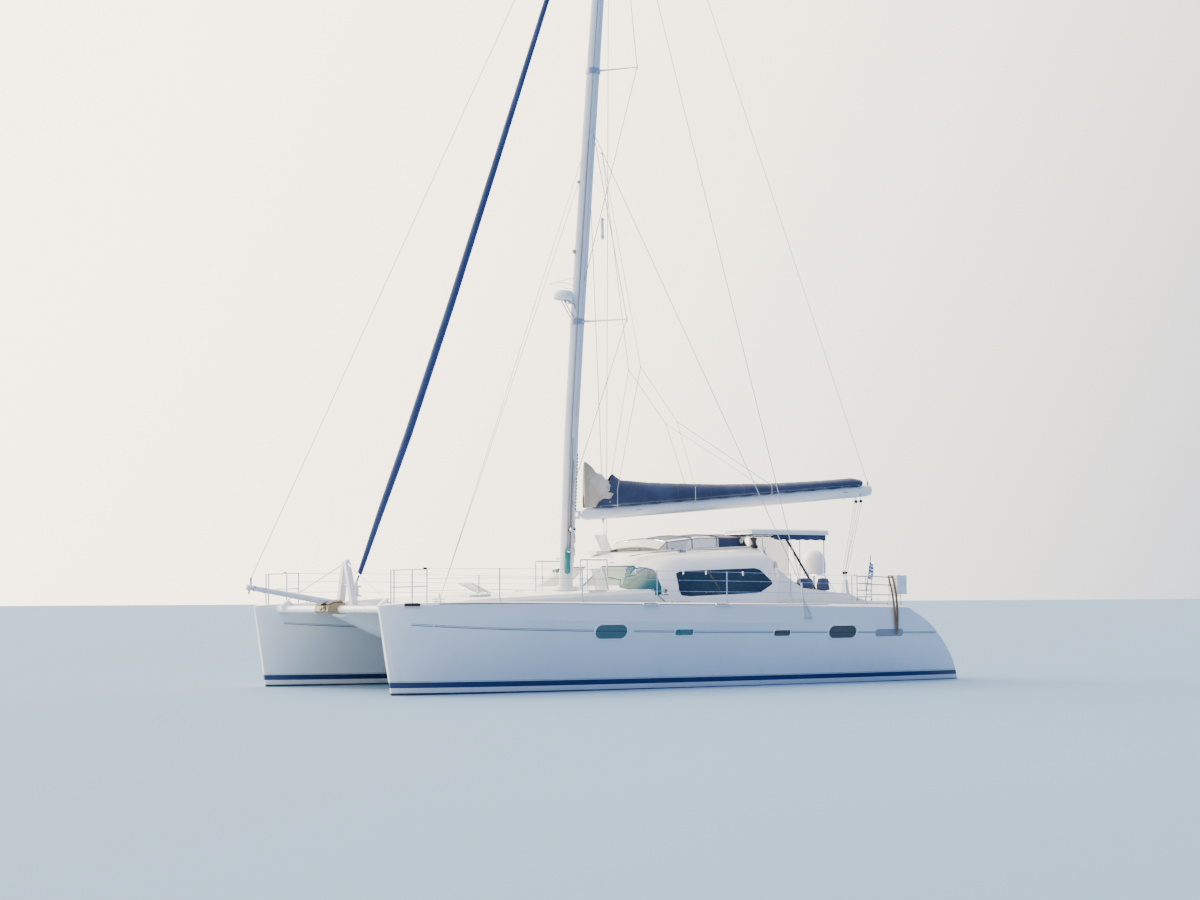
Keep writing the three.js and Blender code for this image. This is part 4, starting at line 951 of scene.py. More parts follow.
def makeMasthead(s):
    head = Piece("masthead_gear", "steel")
    head.paint("blackPlastic").turned([(0.045, 0), (0.05, 0.01), (0.05, 0.05), (0.04, 0.07)], s["lamp"], sides=16)
    head.paint("clearLens").turned([(0.036, 0.07), (0.042, 0.085), (0.042, 0.15), (0.03, 0.17), (0.0, 0.175)],
                                   s["lamp"], sides=16)
    head.paint("steel").rod(s["aerial"], (*s["aerial"][:2], s["aerialTop"]), 0.0045, 8, 0.002)
    x, y = s["vane"]
    head.tube(curve([(-0.05, y, 22.15), (-0.02, y, 22.36), (0.12, y, 22.44), (x, y, 22.45)], 5), 0.006, 6)
    head.paint("blackPlastic").turned([(0.0, 0), (0.012, 0.01), (0.012, 0.05), (0.0, 0.07)], (x, y, 22.42), sides=10)
    head.block((0.31, y, 22.50), (0.16, 0.003, 0.035), None, 0.001)
    head.rod((x, y, 22.39), (x, y, 22.43), 0.006, 8)
    for t in angles(3):
        head.tube([(x, y, 22.395), (x + 0.06 * math.cos(t), y + 0.06 * math.sin(t), 22.39)], 0.0025, 5)
        head.turned([(0.0, -0.02), (0.016, 0.0), (0.018, 0.01), (0.0, 0.012)],
                    (x + 0.07 * math.cos(t), y + 0.07 * math.sin(t), 22.39), (-math.sin(t), math.cos(t), 0), 10)
    head.finished(sharp=40)


makeMasthead(mastheadSettings)

slideSettings = {"trackLow": 2.75, "trackStep": 0.2, "trackSpots": 96, "low": 3.98, "step": 0.078, "count": 17}


def makeSlides(s):
    piece = Piece("mast_track", "greyMetal")
    rail = [onMast(s["trackLow"] + s["trackStep"] * k, 180, 0.004)[0] for k in range(s["trackSpots"])]
    section = ((0.002, -0.014), (-0.008, -0.014), (-0.008, 0.014), (0.002, 0.014))
    piece.loft([[p + Vector((x, y, 0)) for x, y in section] for p in rail])
    piece.finished()
    slides = Piece("luff_slides", "blackPlastic")
    for k in range(s["count"]):
        spot, normal = onMast(s["low"] + s["step"] * k, 180, 0.018)
        slides.paint("blackPlastic").block(spot, (0.045, 0.052, 0.03), facing(normal, (0, 0, 1)), 0.006)
        reach = 0.05 if k % 2 else 0.11
        strap = curve([spot, spot + Vector((-reach * 0.6, 0.022, 0.012)), spot + Vector((-reach, 0.0, 0.03))], 4)
        slides.paint("creamCloth").tube(strap, 0.010, 6, flat=0.4)
    slides.finished(sharp=40)


makeSlides(slideSettings)
print("mast gear done")


# Spray hood: bows, canvas top and sides, clear panels in the sides

hoodSettings = {
    # x, rise of the sides above the roof base
    "stations": [(-0.700, 0.060), (-0.940, 0.225), (-1.900, 0.290), (-3.050, 0.250)],
    # share of the half width, share of the rise, height over the sides
    "crown": [(1.0, 0.0, 0.0), (0.985, 0.5, 0.0), (0.972, 1.0, 0.0), (0.9, 1.0, 0.030), (0.6, 1.0, 0.070),
              (0.3, 1.0, 0.089),
              (0.0, 1.0, 0.095)],
    "half": 1.080, "long": 2.35, "bows": (-0.94, -1.65, -2.36, -3.03), "clearTo": -2.42, "proud": 0.006,
}


def hoodSpots(s, x, lift=0.0):
    rows = s["stations"]
    rise = rows[-1][1]
    for (x0, up0), (x1, up1) in zip(rows, rows[1:]):
        if x >= x1:
            rise = up0 + (up1 - up0) * (x0 - x) / (x0 - x1)
            break
    base = 2.94 - 0.045 * x
    half = [Vector((x, share * s["half"], base + part * rise + crown)) for share, part, crown in s["crown"]]
    full = half + [Vector((p.x, -p.y, p.z)) for p in reversed(half[:-1])]
    out = curve(full, 4)
    middle = Vector((x, 0, base))
    return [p + (p - middle).normalized() * lift for p in out]


def makeHood(s):
    canvas = Piece("hood_canvas", "navyCloth")
    xs = [s["stations"][0][0] - s["long"] * k / 60 for k in range(61)]
    rows = []
    for x in xs:
        near = min(abs(x - bow) for bow in s["bows"])
        sag = 0.010 * min(1.0, near / 0.22)
        rows.append([p - Vector((0, 0, sag * (1 - abs(p.y) / 1.2) + 0.0015 * math.sin(19 * x + 9 * p.y)))
                     for p in hoodSpots(s, x, s["proud"])])
    count = len(rows[0])
    grid = [[canvas.mesh.verts.new(p) for p in row] for row in rows]
    for i in range(len(grid) - 1):
        for k in range(count - 1):
            side = abs(rows[i][k].y) > 0.9 * s["half"] and rows[i][k].z > 2.99 - 0.045 * xs[i]
            clear = side and s["clearTo"] < xs[i] < -0.98
            pale = side or xs[i] > -1.05
            canvas.paint("clearPanel" if clear else ("navyCloth" if xs[i] < -2.30 or not pale else "creamCloth"))
            canvas.face((grid[i][k], grid[i][k + 1], grid[i + 1][k + 1], grid[i + 1][k]))
    made = canvas.finished(thick=0.003)
    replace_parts(made, "spray_hood")
    trim = Piece("hood_trim", "rubStrip")
    for index in (8, -9):
        trim.tube([row[index] + upBy(0.004) for row in rows], 0.010, 6)
    trim.paint("navyCloth")
    for x in s["bows"] + (s["clearTo"],):
        trim.tube([p + Vector((0.0, 0, 0.001)) for p in hoodSpots(s, x, s["proud"] + 0.002)], 0.020, 6, flat=0.22)
    for index in (2, -3):
        trim.tube([row[index] for row in rows[6:]], 0.016, 6, flat=0.3)
    trim.finished()
    bows = Piece("hood_bows", "steel")
    for x in s["bows"]:
        bows.tube(hoodSpots(s, x, -0.016), 0.0115, 8)
    bows.finished()


makeHood(hoodSettings)


# Helm roof: lining below, edge beads, valance, clear curtain

helmRoofBox = {"aft": -5.29, "front": -2.99, "inner": 0.56, "outer": 1.60, "under": 3.410}


def curtainWave(x, t):
    return 0.60 + (0.018 * math.sin(9 * x + 1.5 * t) * t + 0.006 * math.sin(31 * x) * t)


def makeHelmRoof(s):
    lining = Piece("roof_lining", "liningCloth")
    rows = []
    for i in range(41):
        x = s["aft"] + 0.03 + (s["front"] - s["aft"] - 0.06) * i / 40
        rows.append([Vector((x, s["inner"] + 0.03 + 0.98 * k / 16, s["under"] - 0.006)) for k in range(17)])
    lining.loft(rows, closed=False)
    made = lining.finished(thick=0.003)
    beads = Piece("roof_edge", "gelcoat")
    corners = [(s["aft"], s["inner"]), (s["front"], s["inner"]), (s["front"], s["outer"]), (s["aft"], s["outer"])]
    for (ax, ay), (bx, by) in zip(corners, corners[1:] + corners[:1]):
        beads.tube([(ax, ay, s["under"] + 0.012), (bx, by, s["under"] + 0.012)], 0.012, 8)
    beads.paint("greyPlastic")
    for y in (0.75, 1.08, 1.41):
        beads.tube([(s["aft"] + 0.08, y, s["under"] + 0.128), (s["front"] - 0.08, y, s["under"] + 0.128)], 0.009, 6,
                   flat=0.5)
    beads.finished()
    valance = Piece("roof_valance", "navyCloth")
    rows = []
    for k in range(57):
        x = -3.66 - 1.56 * k / 56
        rows.append([Vector((x, 1.585 - 0.010 * t + 0.006 * math.sin(19 * x) * t,
                             3.406 - 0.120 * t - 0.008 * math.cos(23 * x) * t)) for t in (i / 5 for i in range(6))])
    valance.loft(rows, closed=False)
    made = valance.finished(thick=0.003)
    roll = Piece("valance_roll", "navyCloth")
    spots = [Vector((-3.64 - 1.50 * k / 30, 1.50, 3.352 + 0.004 * math.sin(3 * k))) for k in range(31)]
    roll.tube(spots, [0.024 + 0.003 * math.sin(2.1 * k) for k in range(31)], 10)
    roll.paint("greyCloth")
    for k in (2, 9, 16, 23, 29):
        tie = [spots[k] + Vector((0, 0.030 * math.cos(t), 0.030 * math.sin(t))) for t in angles(14)]
        roll.tube(tie, 0.006, 6, loop=True, flat=0.4)
    roll.finished()
    curtain = Piece("clear_curtain", "clearFilm")
    rows = []
    for k in range(49):
        x = -3.68 - 1.17 * k / 48
        rows.append([Vector((x, curtainWave(x, i / 14), 3.375 - 0.93 * (i / 14))) for i in range(15)])
    curtain.loft(rows, closed=False)
    made = curtain.finished(thick=0.0012)
    hem = Piece("curtain_hem", "creamCloth")
    for x in (-3.68, -4.85):
        hem.tube([(x, curtainWave(x, t), 3.375 - 0.93 * t) for t in (i / 14 for i in range(15))], 0.014, 6, flat=0.25)
    foot = [-3.68 - 1.17 * k / 24 for k in range(25)]
    hem.tube([(x, curtainWave(x, 1), 2.445) for x in foot], 0.014, 6, flat=0.25)
    hem.finished()


makeHelmRoof(helmRoofBox)


# Flag hanging limp from its staff

flagSettings = {"low": (-6.250, 1.780, 1.780), "high": (-6.480, 1.740, 2.900), "top": 2.775, "drop": 0.40,
                "reach": 0.145, "stripes": 9}


def makeFlag(s):
    low, high = Vector(s["low"]), Vector(s["high"])
    piece = Piece("flag_cloth", "flagBlue")
    across, down = 36, 18
    grid = []
    for i in range(down + 1):
        t = i / down
        z = s["top"] - s["drop"] * t
        staffSpot = low + (high - low) * ((z - low.z) / (high.z - low.z))
        row = []
        for k in range(across + 1):
            u = k / across
            reach = s["reach"] * (0.30 + 0.70 * math.sin(math.pi * min(0.62, 0.12 + 0.60 * t)))
            fold = 0.0135 * math.sin(u * 3.2 * math.pi + 1.2 * t) * min(1, 5 * u)
            row.append(Vector((staffSpot.x - 0.0135 - reach * u, staffSpot.y + fold,
                               z - 0.10 * u * (1 - 0.3 * t) + 0.05 * u * u)))
        grid.append(row)
    for i in range(down):
        piece.paint("flagBlue" if i * s["stripes"] // down % 2 == 0 else "flagWhite")
        piece.loft(grid[i:i + 2], closed=False)
    bmesh.ops.remove_doubles(piece.mesh, verts=piece.mesh.verts, dist=0.0002)
    made = piece.finished(thick=0.0012)
    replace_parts(made, "flag")
    top = Piece("staff_ball", "varnish")
    axis = (high - low).normalized()
    top.turned([(0.012, -0.02), (0.016, -0.012), (0.012, -0.004), (0.016, 0.004), (0.017, 0.010), (0.012, 0.019),
                (0.0, 0.023)],
               high, axis, 16)
    top.paint("steel").turned([(0.020, 0), (0.024, 0.004), (0.024, 0.055), (0.016, 0.06)], low + axis * 0.02, axis, 18)
    top.finished()


makeFlag(flagSettings)
print("canvas done")


# Boom: end fittings and reefing lines

gooseneck = Vector((0.780, 0.0, 3.850))
boomEnd = Vector((-6.958, 1.198, 4.543))
boomWay = (boomEnd - gooseneck).normalized()
boomSide = Vector((0, 0, 1)).cross(boomWay).normalized()
boomUp = boomWay.cross(boomSide)
boomTurn = Matrix((boomWay, boomSide, boomUp)).transposed()


def onBoom(along, side=0.0, up=0.0):
    return gooseneck + boomWay * along + boomSide * side + boomUp * up


def blockPulley(piece, spot, size, ahead=(1, 0, 0), hang=(0, 0, 1)):
    side = Vector(ahead).normalized()
    piece.paint("blackPlastic")
    for offset in (-0.34, 0.34):
        piece.turned([(0.50 * size, -0.06 * size), (0.56 * size, 0.0), (0.50 * size, 0.06 * size), (0.0, 0.07 * size)],
                     spot + side * offset * size, side, 18)
    piece.paint("greyMetal").turned([(0.42 * size, -0.24 * size), (0.34 * size, 0.0), (0.42 * size, 0.24 * size)],
                                    spot, side, 18)
    piece.paint("steel")
    arm = Vector(hang).normalized()
    for offset in (-0.40, 0.40):
        cheek = spot + side * offset * size * 0.7 + arm * 0.8 * size
        piece.tube([spot + side * offset * size, cheek, spot + arm * 1.0 * size], 0.07 * size, 6)
    piece.turned([(0.10 * size, 0.95 * size), (0.14 * size, 1.05 * size), (0.10 * size, 1.15 * size)], spot, arm, 10)


def makeBoomGear():
    piece = Piece("boom_fittings", "greyMetal")
    length = (boomEnd - gooseneck).length
    piece.block(onBoom(length - 0.34, 0, 0.0), (0.05, 0.190, 0.262), boomTurn, 0.03)
    for k in range(4):
        piece.paint("blackPlastic").turned([(0.034, -0.010), (0.026, 0.0), (0.034, 0.010)],
                                           onBoom(length - 0.31, -0.054 + 0.036 * k, -0.02), boomSide, 14)
    for along, side in ((1.5, 1), (1.5, -1), (2.4, 1), (6.0, 1), (7.1, -1)):
        piece.paint("steel").block(onBoom(along, side * 0.100, 0.0), (0.16, 0.012, 0.022), boomTurn, 0.004)
        piece.block(onBoom(along, side * 0.112, 0.0), (0.06, 0.02, 0.026), boomTurn, 0.005)
    for along in (7.1, 7.42):
        piece.paint("steel").tube([onBoom(along - 0.03, 0, -0.13), onBoom(along, 0, -0.185),
                                   onBoom(along + 0.03, 0, -0.13)], 0.008, 8)
    piece.paint("blackMetal").block(onBoom(0.62, 0, -0.142), (0.09, 0.035, 0.03), boomTurn, 0.006)
    eye = ((0.012, -0.15), (0.016, -0.20), (0, -0.22), (-0.016, -0.20), (-0.012, -0.15))
    piece.tube(curve([onBoom(0.60, side, up) for side, up in eye], 4), 0.008, 8)
    piece.finished(body="boom_body", sharp=40)
    lines = Piece("reefing_lines", "whiteRope")
    for side, up, low, high, finish in ((0.05, -0.138, 0.72, 7.5, "whiteRope"), (-0.045, -0.138, 0.9, 7.4, "blueRope")):
        route = [onBoom(low + (high - low) * k / 20, side, up - 0.012 * math.sin(math.pi * k / 20)) for k in range(21)]
        lines.paint(finish).tube(route, 0.0055, 6)
    lines.finished(body="boom_body")


makeBoomGear()


# Stowed sail: canvas cover with a slanted front edge, folded sail in front of it

coverSettings = {
    # along the boom, half width, height above the boom's middle
    "rows": [(0.25, 0.090, 1.000), (0.42, 0.150, 0.880), (0.70, 0.200, 0.720), (1.5, 0.215, 0.640), (2.3, 0.205, 0.560),
             (3.6, 0.200, 0.440), (5.0, 0.185, 0.360), (6.4, 0.170, 0.330), (7.3, 0.140, 0.330), (7.56, 0.110, 0.270)],
    "foot": 0.170, "end": 7.56, "pivotX": 0.78, "pivotZ": 3.85, "rise": 0.0885, "swing": -8.8, "frontLow": 0.40,
    "frontHigh": 0.86, "seams": (1.25, 1.55, 2.45, 3.35, 4.25, 5.15, 6.05, 6.95),
}
boomSpin = Matrix.Rotation(math.radians(coverSettings["swing"]), 4, "Z")


def overBoom(along, side, up):
    s = coverSettings
    return boomSpin @ Vector((-along, side, s["pivotZ"] + s["rise"] * along + up)) + Vector((s["pivotX"], 0, 0))


def coverSection(along):
    rows, foot = coverSettings["rows"], coverSettings["foot"]
    half, high = rows[-1][1:]
    for a, b in zip(rows, rows[1:]):
        if along <= b[0]:
            t = max(0.0, (along - a[0]) / (b[0] - a[0]))
            half, high = a[1] + (b[1] - a[1]) * t, a[2] + (b[2] - a[2]) * t
            break
    shares = ((0.96, 0.02), (1.0, 0.2), (0.94, 0.48), (0.74, 0.72), (0.42, 0.90), (0.0, 1.0))
    side = [(0.075, 0.145)] + [(half * wide, foot + (high - foot) * tall) for wide, tall in shares]
    spots = [(0, y, z) for y, z in side] + [(0, -y, z) for y, z in reversed(side[:-1])]
    return [(p.y, p.z) for p in curve(spots, 5)]


def makeCover(s):
    cover = Piece("sail_cover", "navyCloth")
    rows = []
    count = 150
    stations = [s["frontLow"] + (s["end"] - s["frontLow"]) * (i / count) ** 1.15 for i in range(count + 1)]
    for along in stations:
        section = coverSection(along)
        top = max(z for _, z in section)
        row = []
        for k, (y, z) in enumerate(section):
            share = max(0.0, (z - s["foot"]) / (top - s["foot"]))
            lean = (s["frontHigh"] - s["frontLow"]) * share * max(0.0, 1 - (along - s["frontLow"]) / 1.4)
            pull = 0.010 * math.sin(9.0 * along + 2.2 * z) * math.sin(13.0 * z + 0.7)
            pull += 0.006 * math.sin(26.0 * along + 4 * z)
            hem = 0.0
            if k in (0, 1, len(section) - 1, len(section) - 2):
                hem = (-0.030 - 0.010 * math.sin(10.5 * along)) * max(0.0, 1 - (z - 0.145) / 0.06)
            edge = 0.992 + pull * (2.4 if 2 < k < len(section) - 3 else 0.6)
            row.append(overBoom(along + lean, y * edge, z - abs(pull) * 0.4 + hem))
        rows.append(row)
    cover.loft(rows, closed=False)
    cloth = cover.finished(body="boom_body", thick=0.003)
    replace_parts(cloth, "stowed_mainsail")
    trim = Piece("cover_seams", "navyTrim")
    for along in s["seams"]:
        nearest = min(range(count + 1), key=lambda i: abs(stations[i] - along))
        trim.tube([p + (p - overBoom(along, 0, 0.35)).normalized() * 0.003 for p in rows[nearest][1:-1]], 0.012, 6,
                  flat=0.22)
    trim.tube(rows[0], 0.010, 6, flat=0.5)
    trim.paint("whiteRope")
    middle = len(rows[0]) // 2
    trim.tube([row[middle] + upBy(0.007) for row in rows[6:]], 0.0065, 6)
    trim.paint("steel")
    for index in (2, -3):
        for k in range(4, count, 9):
            spot = rows[k][index]
            out = (spot - overBoom(0.5 + k * 0.047, 0, 0.2)).normalized()
            trim.turned([(0.011, 0.0), (0.011, 0.004), (0.005, 0.005)], spot + out * 0.001, out, 10)
    return cloth, trim.finished(body="boom_body")


def makeSailFront(s):
    piece = Piece("folded_sail", "sailCloth")
    rows = []
    for i in range(46):
        along = 0.125 + 1.23 * i / 45
        section = coverSection(along)
        top = max(z for _, z in section)
        row = []
        shrink = 0.90 if along < 0.75 else 0.90 - 0.30 * (along - 0.75)
        for k, (y, z) in enumerate(section):
            fold = 0.030 * math.sin(34.0 * z - 9.0 * along + 1.4 * math.sin(5 * z))
            fold += 0.016 * math.sin(71.0 * z + 13.0 * along)
            fold += 0.012 * math.sin(19.0 * along + 3.0 * z)
            room = min(1.0, k / 4, (len(section) - 1 - k) / 4)
            share = max(0.0, (z - s["foot"]) / (top - s["foot"]))
            lift = 0.24 * max(0.0, 1 - (along - 0.125) / 0.75) * share ** 2
            row.append(overBoom(along, y * (shrink + fold * 2.0 * room),
                                z * (1 - 0.02 * room) + fold * 0.35 * room + lift
                                + 0.02 * math.sin(12 * along) * (share > 0.8)))
        rows.append(row)
    piece.loft(rows, closed=False)
    front = rows[0]
    hub = piece.mesh.verts.new(sum(front, Vector()) / len(front) + Vector((0.01, 0, 0)))
    rim = [piece.mesh.verts.new(p) for p in front]
    for k in range(len(rim) - 1):
        piece.face((rim[k + 1], rim[k], hub))
    bmesh.ops.remove_doubles(piece.mesh, verts=piece.mesh.verts, dist=0.0004)
    return piece.finished(body="boom_body", sharp=70, thick=0.004, smoothSteps=1)


cloth, seams = makeCover(coverSettings)
foldedSail = makeSailFront(coverSettings)


# Mainsheet: blocks under the boom end and on the sheet posts, four taut parts

mainsheetSettings = {"posts": [(-6.330, 0.908, 2.470), (-6.330, 0.992, 2.470)], "boomSpots": [7.42, 7.56],
                     "radius": 0.0065}


def makeMainsheet(s):
    low = [Vector(p) for p in s["posts"]]
    tops = [overBoom(along, 0.0, -0.140) for along in s["boomSpots"]]
    blocks = Piece("sheet_blocks_boom", "blackPlastic")
    highs = []
    for top in tops:
        spot = top + upBy(-0.105)
        blockPulley(blocks, spot, 0.070, (0.3, 1, 0), top - spot)
        eye = ((-0.03, 0.02), (0, -0.030), (0.03, 0.02))
        blocks.paint("steel").tube([top + Vector((x, 0, z)) for x, z in eye], 0.007, 8)
        highs.append(spot)
    blocks.finished(body="boom_body", sharp=40)
    lowBlocks = Piece("sheet_blocks_posts", "blackPlastic")
    feet = []
    for spot in low:
        place = spot + upBy(0.055)
        blockPulley(lowBlocks, place, 0.066, (0.3, 1, 0), (0, 0, -1))
        feet.append(place)
    lowBlocks.finished(sharp=40)
    for i, (foot, head) in enumerate(((0, 0), (0, 0), (1, 1), (1, 1))):
        a, b = feet[foot], highs[head]
        shift = Vector((0.035 if i % 2 else -0.035, 0.0, 0.0))
        piece = Piece(f"mainsheet_part_{i + 1}", "whiteRope")
        ends = (a + shift, b + shift * 0.9)
        piece.tube([ends[0] + (ends[1] - ends[0]) * k / 24 for k in range(25)], s["radius"], 7)
        rope = piece.finished(body=None)
        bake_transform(rope)


makeMainsheet(mainsheetSettings)


# Radar scanner on its bracket in front of the mast

radarSettings = {
    "spot": (1.172, 0.0, 8.806), "footZ": 8.40, "footAngle": 25,
    "case": [(0.0, 0.0), (0.16, 0.0), (0.205, 0.012), (0.226, 0.040), (0.229, 0.105), (0.229, 0.112), (0.222, 0.117),
             (0.229, 0.122), (0.226, 0.160), (0.200, 0.196), (0.13, 0.216), (0.0, 0.222)],
}


def makeRadar(s):
    piece = Piece("radar_scanner", "whitePlastic")
    piece.turned(s["case"], s["spot"], sides=40)
    piece.paint("greyMetal").block((1.02, 0, 8.797), (0.42, 0.13, 0.016), None, 0.004)
    for y in (-0.055, 0.055):
        foot, _ = onMast(s["footZ"], s["footAngle"] if y > 0 else -s["footAngle"], -0.006)
        piece.rod((1.19, y, 8.79), foot, 0.012, 10)
        piece.block((0.93, y, 8.77), (0.16, 0.012, 0.06), None, 0.003)
    piece.finished(sharp=40)


makeRadar(radarSettings)


# Nacelle under the bow walkway, from the bridgedeck to the crossbeam

nacelleSettings = {
    # x, half width, lowest point
    "rows": [(6.88, 0.330, 1.570), (6.40, 0.360, 1.345), (6.05, 0.390, 1.190), (5.50, 0.430, 0.985),
             (5.0, 0.47, 0.84), (4.62, 0.500, 0.760)],
    "top": 1.6895,
}


def makeNacelle(s):
    piece = Piece("bow_nacelle", "gelcoat")
    rings = []
    for p in curve(s["rows"], 6):
        x, half, low = p
        top = s["top"]
        shares = ((1.0, 0.55), (0.93, 0.28), (0.66, 0.08), (0.3, 0.0))
        side = [(half, top)] + [(half * wide, low + (top - low) * tall) for wide, tall in shares]
        rings.append([Vector((x, y, z)) for y, z in side] + [Vector((x, -y, z)) for y, z in reversed(side)])
    piece.loft(rings)
    piece.finished(sharp=24)


makeNacelle(nacelleSettings)


# Boarding ladder folded on the port quarter rail

ladderSettings = {"xs": (-4.270, -4.700), "y": 3.835, "low": 1.86, "top": 2.43, "rungs": (2.395, 2.23, 2.08, 1.93)}


def makeLadder(s):
    piece = Piece("boarding_ladder", "steel")
    y, low, top = s["y"], s["low"], s["top"]
    for x in s["xs"]:
        hook = [(x, y, top - 0.05), (x, y - 0.012, top), (x, y - 0.05, top + 0.018), (x, y - 0.085, top),
                (x, y - 0.09, top - 0.04)]
        piece.paint("steel").tube([(x, y, low)] + curve(hook, 5), 0.0125, 10)
        foot = [(0.016, 0), (0.017, 0.01), (0.017, 0.035), (0.0, 0.036)]
        piece.paint("blackPlastic").turned(foot, (x, y, low - 0.012), sides=12)
    for z in s["rungs"]:
        piece.paint("steel").rod((s["xs"][0], y, z), (s["xs"][1], y, z), 0.011, 10)
        piece.paint("blackPlastic").block((sum(s["xs"]) / 2, y + 0.004, z + 0.008), (0.36, 0.045, 0.016), None, 0.004)
    piece.finished(sharp=40)


makeLadder(ladderSettings)
print("sail, sheets, radar, ladder done")


# Repeats by Geometry Nodes: one shape set on every vertex, turned along its "out" vector, or spaced along a path

def repeatTree(name, shape, sizes, along=False):
    tree = bpy.data.node_groups.new(name, "GeometryNodeTree")
    face = tree.interface
    face.new_socket("Geometry", in_out="INPUT", socket_type="NodeSocketGeometry")
    for label, value in sizes.items():
        socket = face.new_socket(label, in_out="INPUT", socket_type="NodeSocketFloat")
        socket.default_value = value
    face.new_socket("Finish", in_out="INPUT", socket_type="NodeSocketMaterial")
    face.new_socket("Geometry", in_out="OUTPUT", socket_type="NodeSocketGeometry")
    source = tree.nodes.new("NodeGroupInput").outputs
    points = source["Geometry"]
    if along:
        line = put(tree, "GeometryNodeMeshToCurve", {"Mesh": points}).outputs["Curve"]
        points = put(tree, "GeometryNodeResampleCurve", {"Curve": line, "Length": source["Gap"]},
                     mode="LENGTH").outputs["Curve"]
        heading = put(tree, "GeometryNodeInputTangent").outputs["Tangent"]
    else:
        heading = put(tree, "GeometryNodeInputNamedAttribute", {"Name": "out"},
                      data_type="FLOAT_VECTOR").outputs["Attribute"]
    turn = put(tree, "FunctionNodeAlignEulerToVector", {"Vector": heading}, axis="Z").outputs["Rotation"]
    if shape == "stud":
        body = put(tree, "GeometryNodeMeshCylinder", {"Vertices": 12, "Radius": source["Radius"],
                                                      "Depth": source["Depth"]}).outputs["Mesh"]
    else:
        size = put(tree, "ShaderNodeCombineXYZ", {"X": source["Wide"], "Y": source["High"],
                                                  "Z": source["Long"]}).outputs["Vector"]
        body = put(tree, "GeometryNodeMeshCube", {"Size": size}).outputs["Mesh"]
    spin = put(tree, "FunctionNodeRandomValue", {"Min": -0.04, "Max": 0.04, "Seed": 7},
               data_type="FLOAT").outputs["Value"]
    scaled = put(tree, "ShaderNodeMath", {0: spin, 1: 1.0}, operation="ADD").outputs["Value"]
    placing = {"Points": points, "Instance": body, "Rotation": turn, "Scale": scaled}
    placedOnes = put(tree, "GeometryNodeInstanceOnPoints", placing)
    real = put(tree, "GeometryNodeRealizeInstances", {"Geometry": placedOnes.outputs["Instances"]}).outputs["Geometry"]
    painted = put(tree, "GeometryNodeSetMaterial", {"Geometry": real, "Material": source["Finish"]}).outputs["Geometry"]
    tree.links.new(painted, tree.nodes.new("NodeGroupOutput").inputs["Geometry"])
    return tree


repeatTrees = {
    "stud": repeatTree("studs on spots", "stud", {"Radius": 0.01, "Depth": 0.004}),
    "block": repeatTree("blocks on spots", "block", {"Wide": 0.02, "High": 0.02, "Long": 0.02}),
    "blockRow": repeatTree("blocks along a path", "block", {"Wide": 0.02, "High": 0.02, "Long": 0.02, "Gap": 0.1},
                           True),
}


def repeat(name, kind, spots, finish, sizes):
    mesh = bpy.data.meshes.new(name)
    along = "Gap" in sizes
    mesh.from_pydata([tuple(p) for p in spots], [(i, i + 1) for i in range(len(spots) - 1)] if along else [], [])
    if not along:
        for item in mesh.attributes.new("out", "FLOAT_VECTOR", "POINT").data:
            item.vector = (0, 0, 1)
    made = bpy.data.objects.new(name, mesh)
    scene.collection.objects.link(made)
    maker = made.modifiers.new("repeat", "NODES")
    maker.node_group = repeatTrees[kind]
    for item in repeatTrees[kind].interface.items_tree:
        if item.item_type == "SOCKET" and item.in_out == "INPUT":
            if item.name in sizes:
                maker[item.identifier] = sizes[item.name]
            elif item.name == "Finish":
                maker[item.identifier] = finishes[finish]
    bake(made)
    for polygon in made.data.polygons:
        polygon.use_smooth = False
    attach(made, "boat")
    return made


# Stanchion bases with sockets and bolts

def railRow(side, xs):
    rows = []
    for x in xs:
        hits = [castOn(("rails_" + sideWord(side),), (x + 0.006 * k, side * 6.0, sheerZ(x) + 0.20), (0, -side, 0))
                for k in range(-6, 7)]
        hits = [hit[0] for hit in hits if hit]
        if hits:
            rows.append(hits[len(hits) // 2])
    return rows


posts = [5.02, 3.105, 1.235, -0.607, -2.39, -4.17, -4.592, -5.65]
bases = []
for side in (1, -1):
    for spot in railRow(side, posts):
        foot = deckAt(spot.x, spot.y - side * 0.0125, 0.004, start=sheerZ(spot.x) + 0.25)
        if abs(foot.z - sheerZ(spot.x)) < 0.3:
            bases.append(foot)
repeat("stanchion_bases", "stud", bases, "steel", {"Radius": 0.034, "Depth": 0.014})
repeat("stanchion_sockets", "stud", [p + upBy(0.035) for p in bases], "steel", {"Radius": 0.019, "Depth": 0.07})
boltSpots = [p + Vector((dx, dy, 0.008)) for p in bases for dx in (-0.023, 0.023) for dy in (-0.023, 0.023)]
repeat("stanchion_bolts", "stud", boltSpots, "greyMetal", {"Radius": 0.005, "Depth": 0.006})

# Deck fittings: cleats, handrails, winches, clutches with their lines, filler plates, sheet tracks
trackSettings = {"y": 2.62, "xs": (0.9, 0.55, 0.2, -0.15, -0.5), "highest": 2.35}


